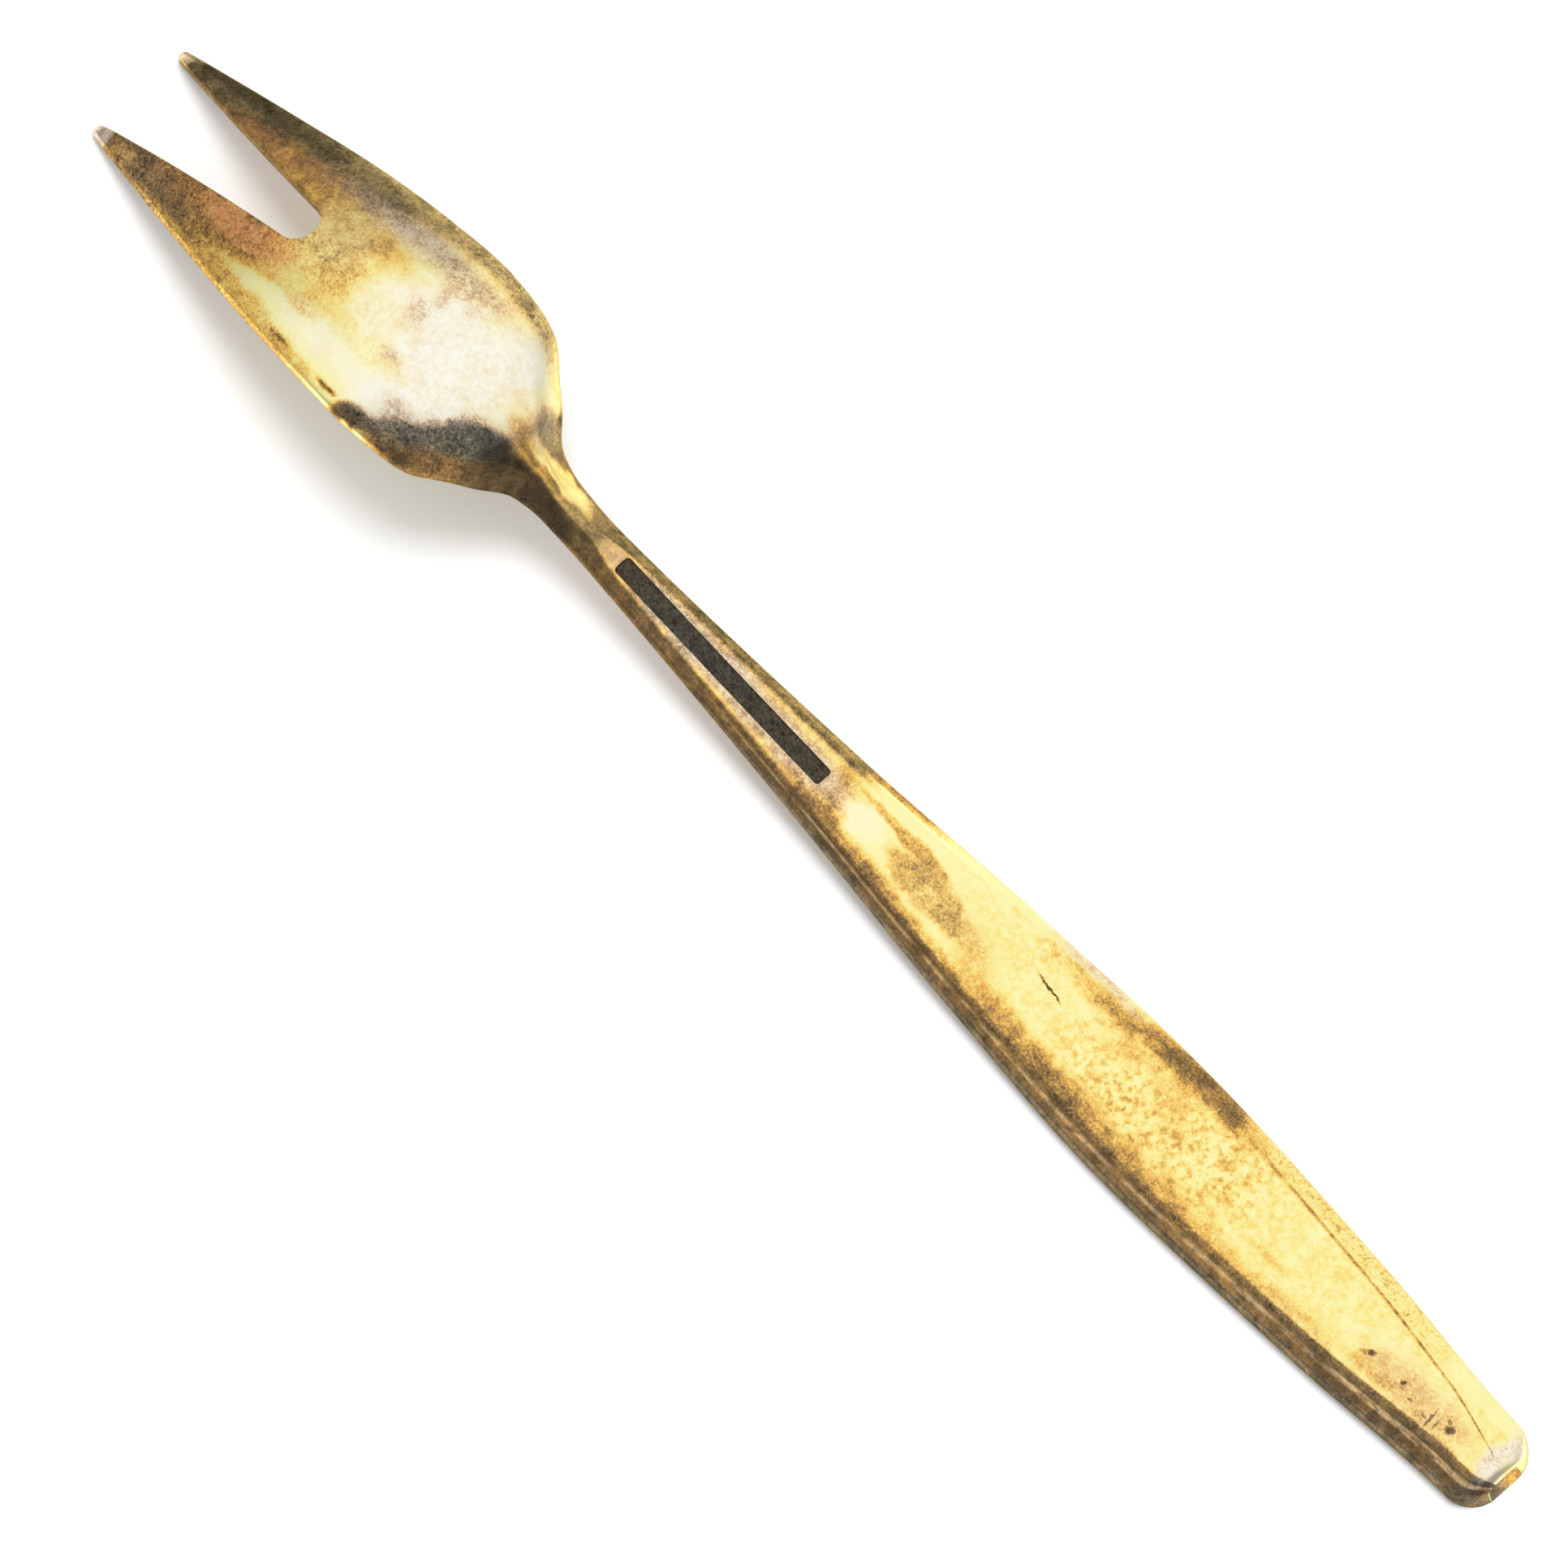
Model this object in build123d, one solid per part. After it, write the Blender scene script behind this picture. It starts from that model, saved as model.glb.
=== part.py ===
from build123d import *
import math
import os
from dataclasses import dataclass, fields

# Two-tined oyster fork of struck and gilded silver, one piece of metal.
# It lies face down on z = 0, as on a table: tine tips to -X, handle end to +X, back of the fork up.
# All sizes are in millimetres. "From the tips" means along X from the tine tips.

# Runs along the fork, one after the other from the tips
tine_length = 17.05  # tips to the root of the slot
web_length = 10.1  # root of the slot to the widest place of the head
heel_length = 5.5  # widest place to the corner where the head turns in
throat_length = 10.5  # corner of the head to the narrowest place of the neck
recess_gap = 2.7  # neck to the struck recess
recess_length = 18.95
stem_length = 30.35  # end of the recess to the belly, the widest place of the handle
handle_length = 32.5  # belly to the end

# Widths in plan
tip_spacing = 7.55
tip_radius = 0.45
tip_end_share = 0.8  # width of a tip at its very end, as a share of the round that trims it
slot_root_radius = 1.5
slot_side_bow = 0.12
root_width = 13.4
head_width = 14.8
heel_width = 13.2
neck_width = 3.3
handle_width = 9.8
end_width = 6.5
end_corner_radius = 1.9
end_bow_radius = 14.0

# Heights of the underside's rim over the table
root_height = 5.5
bowl_height = 7.6
heel_height = 7.1
neck_height = 3.4

# Section of the head: rim wall, rise of the back over the rim, hollow of the underside
rim_thickness = 1.0
tip_rise = 0.9
tip_dish = 0.7
root_rise = 2.0
root_dish = 1.6
bowl_rise = 2.5
bowl_dish = 2.1
heel_rise = 2.2
heel_dish = 1.7
back_panel_share = 0.55  # middle of the head's back, as a share of its width

# Section of the keeled neck and of the stem
neck_edge = 0.8
keel_rise = 1.0
keel_width = 0.9
keel_crown = 0.05
stem_edge = 0.9
stem_bevel_rise = 0.65
stem_bevel_width = 0.55
stem_crown = 0.1

# Section of the handle, and how its end turns down
handle_edge = 1.2
handle_bevel_rise = 0.55
handle_bevel_width = 0.95
handle_crown = 0.4
end_bevel_rise = 0.4
end_bevel_width = 1.6
end_crown = 0.25
end_drop = 0.3
end_drop_length = 1.6
end_slope = 0.7

# Struck recess on the back of the stem
recess_width = 1.3
recess_depth = 0.2
recess_corner_radius = 0.25

# Bulge of the side walls, and metal ground off below so that the handle and tips sit flat
edge_bulge = 0.25
sole_trim = 0.3

# Landmarks from the tips
bowl_from_tips = tine_length + web_length
heel_from_tips = bowl_from_tips + heel_length
neck_from_tips = heel_from_tips + throat_length
recess_from_tips = neck_from_tips + recess_gap
recess_end_from_tips = recess_from_tips + recess_length
belly_from_tips = recess_end_from_tips + stem_length
overall_length = belly_from_tips + handle_length


@dataclass
class Section:
    """One cross-section of the fork, symmetric about the XZ plane."""

    at: float  # distance from the tips
    half_width: float
    rim: float  # height of the underside at its rim
    edge: float  # height of the side wall
    panel: float  # half width of the crowned middle of the back
    bevel: float  # rise from the side wall to the panel
    crown: float  # rise from the panel's sides to its middle
    bow: float = 0.0  # swell of the bevel over a straight slope
    dish: float = 0.0  # hollow of the underside

    @property
    def x(self):
        return self.at - overall_length / 2

    @property
    def top(self):
        return self.rim + self.edge + self.bevel + self.crown


def dished(at, width, rim, rise, dish):
    """A section of the head, whose back is one parabola from rim to rim."""
    middle = rise * back_panel_share**2
    bow = rise * (1 - back_panel_share) ** 2 / 2
    panel = back_panel_share * width / 2
    return Section(at, width / 2, rim, rim_thickness, panel, rise - middle, middle, bow, dish)


def bevelled(at, width, rim, edge, bevel_width, bevel_rise, crown):
    """A section of the stem or handle: a crowned panel between two bevels, flat underneath."""
    panel = width / 2 - edge_bulge - bevel_width
    return Section(at, width / 2, rim, edge, panel, bevel_rise, crown)


def between(first, last, place, width, height, form):
    """A section between two others, with a share of its own for place, width, height and form."""

    def mix(name, share):
        start = getattr(first, name)
        return start + (getattr(last, name) - start) * share

    return Section(
        at=mix("at", place),
        half_width=mix("half_width", width),
        rim=mix("rim", height),
        edge=mix("edge", form),
        panel=mix("panel", width),
        bevel=mix("bevel", form),
        crown=mix("crown", form),
        bow=mix("bow", form),
        dish=mix("dish", form),
    )


def combine(sections, shares):
    """A section whose every measure is a weighted sum of those of some others."""

    def total(name):
        return sum(share * getattr(section, name) for section, share in zip(sections, shares))

    return Section(**{field.name: total(field.name) for field in fields(Section)})


def outline(section):
    """The six curves round a section, each by three points, from the underside by the +Y side."""
    foot = section.half_width - edge_bulge
    bulge = section.half_width + edge_bulge
    low = section.rim
    shoulder = low + section.edge
    waist = (low + shoulder) / 2
    panel = section.panel
    ridge = shoulder + section.bevel
    slope_side = (foot + panel) / 2
    slope_height = (shoulder + ridge) / 2 + section.bow
    underside = [(-foot, low), (0, low + 2 * section.dish), (foot, low)]
    right_wall = [(foot, low), (bulge, waist), (foot, shoulder)]
    right_bevel = [(foot, shoulder), (slope_side, slope_height), (panel, ridge)]
    crown = [(panel, ridge), (0, ridge + 2 * section.crown), (-panel, ridge)]
    left_bevel = [(-panel, ridge), (-slope_side, slope_height), (-foot, shoulder)]
    left_wall = [(-foot, shoulder), (-bulge, waist), (-foot, low)]
    curves = [underside, right_wall, right_bevel, crown, left_bevel, left_wall]
    return [[Vector(section.x, y, z) for y, z in curve] for curve in curves]


# Sections at the landmarks
tip_width = tip_spacing + 2 * tip_radius * tip_end_share
tip = dished(0, tip_width, -sole_trim, tip_rise, tip_dish)
root = dished(tine_length, root_width, root_height, root_rise, root_dish)
bowl = dished(bowl_from_tips, head_width, bowl_height, bowl_rise, bowl_dish)
heel = dished(heel_from_tips, heel_width, heel_height, heel_rise, heel_dish)
neck = Section(
    neck_from_tips, neck_width / 2, neck_height, neck_edge, keel_width / 2, keel_rise, keel_crown
)
sole = -sole_trim
side = handle_edge + sole_trim
belly = bevelled(
    belly_from_tips, handle_width, sole, side, handle_bevel_width, handle_bevel_rise, handle_crown
)
end_from_tips = overall_length - end_drop_length
end = bevelled(
    end_from_tips, end_width, sole, side, end_bevel_width, end_bevel_rise, end_crown
)
lip = bevelled(
    overall_length, end_width, sole, side - end_drop, end_bevel_width, end_bevel_rise, end_crown
)


def stem(at, width_share, height_share):
    """A section of the stem, between the neck and the belly of the handle."""
    half_width = neck.half_width + (belly.half_width - neck.half_width) * width_share
    rim = neck.rim + (belly.rim - neck.rim) * height_share
    bevel = (stem_bevel_width, stem_bevel_rise, stem_crown)
    return bevelled(at, 2 * half_width, rim, stem_edge, *bevel)


# The shape of the fork, from the tips to the end of the handle
recess_start = stem(recess_from_tips, width_share=0.025, height_share=0.11)
recess_end = stem(recess_end_from_tips, width_share=0.37, height_share=0.58)
shape = [
    tip,
    between(tip, root, place=0.5, width=0.54, height=0.5, form=0.6),
    root,
    between(root, bowl, place=0.5, width=0.64, height=0.62, form=0.62),
    bowl,
    between(bowl, heel, place=0.6, width=0.33, height=0.05, form=0.3),
    heel,
    between(heel, neck, place=0.21, width=0.34, height=0.16, form=0.36),
    between(heel, neck, place=0.35, width=0.57, height=0.3, form=0.6),
    between(heel, neck, place=0.51, width=0.88, height=0.57, form=0.84),
    between(heel, neck, place=0.72, width=0.985, height=0.79, form=0.96),
    neck,
    recess_start,
    recess_end,
    between(recess_end, belly, place=0.52, width=0.64, height=0.62, form=0.5),
    belly,
    between(belly, end, place=0.55, width=0.4, height=0.5, form=0.5),
    end,
    lip,
]


def steady_slopes(places, values):
    """Slopes of a curve through the values that neither overshoots nor ripples between them."""
    rates = [(b - a) / (d - c) for a, b, c, d in zip(values, values[1:], places, places[1:])]
    slopes = [rates[0]]
    for before, after in zip(rates, rates[1:]):
        turns_back = before * after <= 0
        slopes.append(0.0 if turns_back else 2 * before * after / (before + after))
    slopes.append(rates[-1])
    return slopes


def stretches(sections):
    """For each stretch between two sections, the four that guide a smooth curve along it."""
    places = [section.at for section in sections]
    columns = [
        steady_slopes(places, [getattr(section, field.name) for section in sections])
        for field in fields(Section)
    ]
    slopes = [Section(*values) for values in zip(*columns)]
    guides = []
    for k, (first, last) in enumerate(zip(sections, sections[1:])):
        third = (last.at - first.at) / 3
        leaving = combine([first, slopes[k]], [1, third])
        arriving = combine([last, slopes[k + 1]], [1, -third])
        guides.append([first, leaving, arriving, last])
    return guides


guides = stretches(shape)


def section_at(place):
    """The section at any distance from the tips."""
    guide = next(guide for guide in guides if place <= guide[-1].at)
    share = (place - guide[0].at) / (guide[-1].at - guide[0].at)
    rest = 1 - share
    return combine(guide, [rest**3, 3 * rest**2 * share, 3 * rest * share**2, share**3])


def skin(guide):
    """The six faces of one stretch of the fork."""
    rows = [outline(section) for section in guide]
    return [Face.make_bezier_surface([row[k] for row in rows]) for k in range(len(rows[0]))]


def cap(section):
    """The flat face that closes the fork at a section."""
    return Face(Wire([Bezier(*curve) for curve in outline(section)]))


faces = [face for guide in guides for face in skin(guide)]
body = Solid(Shell(faces + [cap(tip), cap(lip)]))

# The handle and the tine tips are ground flat where they sit on the table
body = split(body, bisect_by=Plane.XY, keep=Keep.TOP)


def tine_cut():
    """The metal cut away between the tines and round their tips, as seen from above."""
    tip_x = -overall_length / 2 + tip_radius
    tip_y = tip_spacing / 2
    root_x = -overall_length / 2 + tine_length - slot_root_radius
    # Each side of the slot runs from the inside of a tip to where it touches the round of the root
    tip_touch = Vector(tip_x, tip_y - tip_radius)
    reach = math.hypot(root_x - tip_touch.X, tip_touch.Y)
    lean = math.atan2(tip_touch.Y, root_x - tip_touch.X) - math.asin(slot_root_radius / reach)
    across = Vector(math.sin(lean), math.cos(lean))
    root_touch = Vector(root_x, 0) + across * slot_root_radius
    side_middle = (tip_touch + root_touch) / 2 - across * slot_side_bow
    upper_side = ThreePointArc(tip_touch, side_middle, root_touch)
    lower_side = mirror(upper_side, about=Plane.XZ)
    root_round = ThreePointArc(root_touch, (root_x + slot_root_radius, 0), lower_side @ 1)
    slot = make_face([upper_side, root_round, lower_side, Line(lower_side @ 0, tip_touch)])
    waste_length = 2 * tip_radius
    waste = Pos(tip_x - waste_length / 2, 0) * Rectangle(waste_length, head_width)
    tips = Pos(tip_x, tip_y) * Circle(tip_radius) + Pos(tip_x, -tip_y) * Circle(tip_radius)
    return slot + waste - tips


def corner_cut():
    """The metal cut away at the corners of the handle's end, as seen from above."""
    corner_x = overall_length / 2 - end_corner_radius
    corner_y = section_at(overall_length - end_corner_radius).half_width - end_corner_radius
    waste = Pos(corner_x + end_corner_radius, 0) * Rectangle(2 * end_corner_radius, handle_width)
    middle = Pos(corner_x, 0) * Rectangle(4 * end_corner_radius, 2 * corner_y)
    corners = Pos(corner_x, corner_y) * Circle(end_corner_radius)
    corners += Pos(corner_x, -corner_y) * Circle(end_corner_radius)
    return waste - middle - corners


def end_cut():
    """The metal cut away so that the end face is bowed and leans back from its foot."""
    height = 2 * end.top
    lean = end_slope * height / end.top
    bottom = (Align.CENTER, Align.CENTER, Align.MIN)
    centre = Pos(overall_length / 2 - end_bow_radius, 0, 0)
    inside = centre * Cone(end_bow_radius, end_bow_radius - lean, height, align=bottom)
    block = Pos(overall_length / 2, 0, 0) * Box(end_bow_radius, handle_width, height, align=bottom)
    return block - inside


cut_height = 2 * bowl.top
body -= extrude(tine_cut(), amount=cut_height, both=True)
body -= extrude(corner_cut(), amount=cut_height, both=True)
body -= end_cut()

# The recess is struck square to the back of the stem
recess_run = recess_end.x - recess_start.x
recess_fall = recess_start.top - recess_end.top
recess_lean = math.degrees(math.atan2(recess_fall, recess_run))
recess_x = (recess_start.x + recess_end.x) / 2
recess_z = (recess_start.top + recess_end.top) / 2 - recess_depth
recess = extrude(RectangleRounded(recess_length, recess_width, recess_corner_radius), stem_edge)
body -= Location((recess_x, 0, recess_z), (0, recess_lean, 0)) * recess

fork = body.solid()
fork.label = "fork"
os.makedirs("parts", exist_ok=True)
export_step(fork, "parts/fork.step")
print("fork", round(fork.volume, 1), fork.is_valid, fork.bounding_box())
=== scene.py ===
import math
from dataclasses import dataclass, fields, replace

import bmesh
import bpy
import numpy
from bpy.props import FloatProperty, FloatVectorProperty, PointerProperty
from bpy.types import Operator, Panel, PropertyGroup
from mathutils import Matrix, Vector, noise


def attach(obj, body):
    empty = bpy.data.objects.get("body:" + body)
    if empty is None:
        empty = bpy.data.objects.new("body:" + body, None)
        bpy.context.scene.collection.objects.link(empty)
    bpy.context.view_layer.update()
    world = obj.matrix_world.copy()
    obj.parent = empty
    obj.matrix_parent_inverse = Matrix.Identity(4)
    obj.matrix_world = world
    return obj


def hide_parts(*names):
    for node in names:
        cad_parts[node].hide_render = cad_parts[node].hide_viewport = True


bl_info = {
    "name": "Oyster Fork",
    "version": (1, 0, 0),
    "blender": (4, 5, 0),
    "location": "3D View > Sidebar > Fork",
    "description": "Builds a worn gilt silver oyster fork and the plain stage that it lies on",
    "category": "Add Mesh",
}

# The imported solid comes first: every size below is in its frame, in metres
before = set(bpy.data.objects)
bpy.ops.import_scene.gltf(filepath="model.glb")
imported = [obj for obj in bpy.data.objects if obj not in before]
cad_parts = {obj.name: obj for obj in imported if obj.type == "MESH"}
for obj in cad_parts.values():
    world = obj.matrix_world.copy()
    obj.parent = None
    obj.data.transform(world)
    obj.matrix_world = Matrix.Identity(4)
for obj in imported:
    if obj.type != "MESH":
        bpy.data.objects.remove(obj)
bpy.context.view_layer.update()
MM = 0.001

# The photograph's frame, in pixels
PHOTO_SIDE = 1932

# Places round the section: 0 at the middle of the back, 1 at the panel's side, 2 and 3 at the wall's top
# and foot, 4 at the middle below. The slot's wall, the end face and the recess have numbers of their own.
SLOT_WALL = 5.0
END_FACE = 6.0
RECESS_FLOOR = -8.0

# Stains are placed from a line this far from the fork's middle, in millimetres, just behind the tips
STAINS_FROM = 63.175
# Their edges wander by a noise that is the same in each run
STAIN_SEED = 2


def length(name, description, millimetres):
    """A size of the fork that a user may change."""
    return FloatProperty(
        name=name, description=description, default=millimetres * MM, min=0.0, unit="LENGTH", precision=5
    )


def share(name, description, default, high=1.0):
    """A plain number from nothing to a limit."""
    return FloatProperty(name=name, description=description, default=default, min=0.0, max=high)


def colour(name, description, red, green, blue):
    """A surface colour, as linear light."""
    shade = (red, green, blue)
    return FloatVectorProperty(
        name=name, description=description, default=shade, size=3, min=0.0, max=1.0, subtype="COLOR"
    )


class ForkSizes(PropertyGroup):
    """Sizes of the fork, the same as the solid's"""

    tine_length: length("Tine length", "Tips to the root of the slot", 17.05)
    web_length: length("Web length", "Root of the slot to the widest place of the head", 10.1)
    heel_length: length("Heel length", "Widest place to the corner where the head turns in", 5.5)
    throat_length: length("Throat length", "Corner of the head to the narrowest place of the neck", 10.5)
    recess_gap: length("Recess gap", "Neck to the struck recess", 2.7)
    recess_length: length("Recess length", "Length of the struck recess", 18.95)
    stem_length: length("Stem length", "End of the recess to the widest place of the handle", 30.35)
    handle_length: length("Handle length", "Widest place of the handle to its end", 32.5)
    tip_spacing: length("Tip spacing", "Distance between the middles of the tips", 7.55)
    tip_radius: length("Tip radius", "Round of each tip in plan", 0.45)
    tip_end_share: share("Tip end share", "Width of a tip at its very end, as a share of its round", 0.8)
    slot_root_radius: length("Slot root radius", "Round at the root of the slot", 1.5)
    slot_side_bow: length("Slot side bow", "Swell of the slot's sides", 0.12)
    root_width: length("Root width", "Width of the head at the root of the slot", 13.4)
    head_width: length("Head width", "Greatest width of the head", 14.8)
    heel_width: length("Heel width", "Width of the head at its corner", 13.2)
    neck_width: length("Neck width", "Least width of the neck", 3.3)
    handle_width: length("Handle width", "Greatest width of the handle", 9.8)
    end_width: length("End width", "Width of the handle at its end", 6.5)
    end_corner_radius: length("End corner radius", "Round of the end's corners in plan", 1.9)
    end_bow_radius: length("End bow radius", "Bow of the end face in plan", 14.0)
    root_height: length("Root height", "Height of the rim at the root of the slot", 5.5)
    bowl_height: length("Bowl height", "Height of the rim at the widest place", 7.6)
    heel_height: length("Heel height", "Height of the rim at the corner of the head", 7.1)
    neck_height: length("Neck height", "Height of the neck's underside", 3.4)
    rim_thickness: length("Rim thickness", "Height of the head's side wall", 1.0)
    tip_rise: length("Tip rise", "Swell of the back at the tips", 0.9)
    tip_dish: length("Tip dish", "Hollow of the face at the tips", 0.7)
    root_rise: length("Root rise", "Swell of the back at the root of the slot", 2.0)
    root_dish: length("Root dish", "Hollow of the face at the root of the slot", 1.6)
    bowl_rise: length("Bowl rise", "Swell of the back at the widest place", 2.5)
    bowl_dish: length("Bowl dish", "Hollow of the face at the widest place", 2.1)
    heel_rise: length("Heel rise", "Swell of the back at the corner of the head", 2.2)
    heel_dish: length("Heel dish", "Hollow of the face at the corner of the head", 1.7)
    neck_edge: length("Neck edge", "Height of the neck's side wall", 0.8)
    keel_rise: length("Keel rise", "Rise of the keel over the neck's sides", 1.0)
    keel_width: length("Keel width", "Width of the keel's top", 0.9)
    keel_crown: length("Keel crown", "Crown of the keel's top", 0.05)
    stem_edge: length("Stem edge", "Height of the stem's side wall", 0.9)
    stem_bevel_rise: length("Stem bevel rise", "Rise of the stem's shoulders", 0.65)
    stem_bevel_width: length("Stem bevel width", "Width of the stem's shoulders", 0.55)
    stem_crown: length("Stem crown", "Crown of the stem's back", 0.1)
    handle_edge: length("Handle edge", "Height of the handle's side wall", 1.2)
    handle_bevel_rise: length("Handle bevel rise", "Rise of the handle's bevels", 0.55)
    handle_bevel_width: length("Handle bevel width", "Width of the handle's bevels", 0.95)
    handle_crown: length("Handle crown", "Crown of the handle's back", 0.4)
    end_bevel_rise: length("End bevel rise", "Rise of the bevels at the end", 0.4)
    end_bevel_width: length("End bevel width", "Width of the bevels at the end", 1.6)
    end_crown: length("End crown", "Crown of the back at the end", 0.25)
    end_drop: length("End drop", "How far the back turns down at the very end", 0.3)
    end_drop_length: length("End drop length", "Run over which the back turns down", 1.6)
    end_slope: length("End slope", "Lean of the end face from foot to top", 0.7)
    recess_width: length("Recess width", "Width of the struck recess", 1.3)
    recess_depth: length("Recess depth", "Depth of the struck recess", 0.2)
    recess_corner_radius: length("Recess corner radius", "Round of the recess's corners", 0.25)
    edge_bulge: length("Edge bulge", "Bulge of the side walls", 0.25)
    sole_trim: length("Sole trim", "Metal ground off below so that the handle sits flat", 0.3)
    back_panel_share: share("Back panel share", "Middle of the head's back, as a share of its width", 0.55)
    slot_edge_round: length("Slot edge round", "Worn round along the slot's upper edges", 0.14)
    tip_round: length("Tip round", "Run over which a tip thins to its end", 0.7)
    end_edge_round: length("End edge round", "Worn round along the end face's edge", 0.5)
    waviness: length("Waviness", "Depth of the shallow dents of use on the back", 0.012)


class ForkColours(PropertyGroup):
    """Colours of the gilding, the bare silver and the tarnish on each"""

    gold_bright: colour("Bright gilding", "Gilding without a film", 0.99, 0.94, 0.465)
    gold_warm: colour("Warm gilding", "Gilding with a thin film", 0.98, 0.81, 0.26)
    gold_amber: colour("Amber gilding", "Gilding with an amber film", 0.91, 0.53, 0.12)
    gold_brown: colour("Brown gilding", "Gilding with a brown film", 0.45, 0.26, 0.085)
    gold_umber: colour("Umber gilding", "Gilding with a thick film", 0.19, 0.12, 0.055)
    olive_bright: colour("Bright olive", "Greenish film at its thinnest", 0.98, 0.935, 0.48)
    olive_warm: colour("Warm olive", "Thin greenish film", 0.96, 0.83, 0.36)
    olive_gold: colour("Olive gilding", "Gilding with an olive film", 0.79, 0.575, 0.215)
    olive_brown: colour("Brown olive", "Gilding with a brownish olive film", 0.42, 0.305, 0.13)
    olive_dark: colour("Dark olive", "Gilding with a thick olive film", 0.165, 0.125, 0.062)
    silver_bright: colour("Bright silver", "Silver without a film", 0.98, 0.97, 0.92)
    silver_warm: colour("Warm silver", "Silver with a thin film", 0.92, 0.83, 0.66)
    silver_rosy: colour("Rosy silver", "Silver with a rosy film", 0.68, 0.53, 0.40)
    silver_grey: colour("Grey silver", "Silver with a grey film", 0.36, 0.30, 0.22)
    silver_slate: colour("Slate silver", "Silver with a thick film", 0.14, 0.14, 0.11)
    copper_bright: colour("Bright copper", "Reddish film at its thinnest", 0.95, 0.60, 0.30)
    copper: colour("Copper blush", "Reddish film on a tine", 0.82, 0.36, 0.14)
    copper_brown: colour("Brown copper", "Reddish film where it is thick", 0.40, 0.19, 0.09)
    oxide: colour("Oxide", "Near black oxide in hollows and scratches", 0.030, 0.026, 0.020)
    glancing: colour("Glancing tint", "Cast of reflections at a glancing angle", 0.68, 0.6, 0.4)


class StageSettings(PropertyGroup):
    """The floor and the lamps"""

    floor_colour: colour("Floor", "Plain pale floor", 0.93, 0.93, 0.93)
    ceiling_light: share("Ceiling light", "Brightness of the wide ceiling panel", 1.0, 10.0)
    right_light: share("Right light", "Brightness of the panel on the right", 0.98, 10.0)
    left_light: share("Left light", "Brightness of the panel on the left", 1.0, 10.0)
    end_light: share("End light", "Brightness of the panel towards the handle's end", 0.95, 10.0)
    low_light: share("Low light", "Brightness of the low panel beside the handle's end", 0.9, 10.0)
    room_light: share("Room light", "Brightness of the dim room", 0.32, 10.0)
    key_light: share("Key light", "Share of the floor's light that casts the shadow", 0.5, 10.0)


@dataclass
class Section:
    """One cross-section of the fork, symmetric about the XZ plane."""

    at: float  # distance from the tips
    half_width: float
    rim: float  # height of the underside at its rim
    edge: float  # height of the side wall
    panel: float  # half width of the crowned middle of the back
    bevel: float  # rise from the side wall to the panel
    crown: float  # rise from the panel's sides to its middle
    bow: float = 0.0  # swell of the bevel over a straight slope
    dish: float = 0.0  # hollow of the underside

    @property
    def top(self):
        return self.rim + self.edge + self.bevel + self.crown

    def back(self, y, foot):
        """Height of the back at a distance from the middle, where it reaches out to foot."""
        ridge = self.rim + self.edge + self.bevel
        if y <= self.panel:
            return ridge + self.crown * (1 - (y / self.panel) ** 2)
        part = max(0.0, (foot - y) / (foot - self.panel))
        return ridge - self.bevel * (1 - part) + 2 * part * (1 - part) * self.bow

    def face(self, y, foot):
        """Height of the underside, ground flat where it would reach below the table."""
        return max(0.0, self.rim + self.dish * (1 - (y / foot) ** 2))


def combine(sections, shares):
    """A section whose every measure is a weighted sum of those of some others."""

    def total(name):
        return sum(part * getattr(section, name) for section, part in zip(sections, shares))

    return Section(**{field.name: total(field.name) for field in fields(Section)})


def steady_slopes(places, values):
    """Slopes of a curve through the values that neither overshoots nor ripples between them."""
    rates = [(b - a) / (d - c) for a, b, c, d in zip(values, values[1:], places, places[1:])]
    slopes = [rates[0]]
    for before, after in zip(rates, rates[1:]):
        turns_back = before * after <= 0
        slopes.append(0.0 if turns_back else 2 * before * after / (before + after))
    slopes.append(rates[-1])
    return slopes


def ease(low, high, value):
    """A smooth step from 0 at low to 1 at high."""
    part = min(1.0, max(0.0, (value - low) / (high - low)))
    return part * part * (3 - 2 * part)


def spread(start, finish, count):
    """Even steps from start to finish, without the start."""
    return [start + (finish - start) * k / count for k in range(1, count + 1)]


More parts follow.
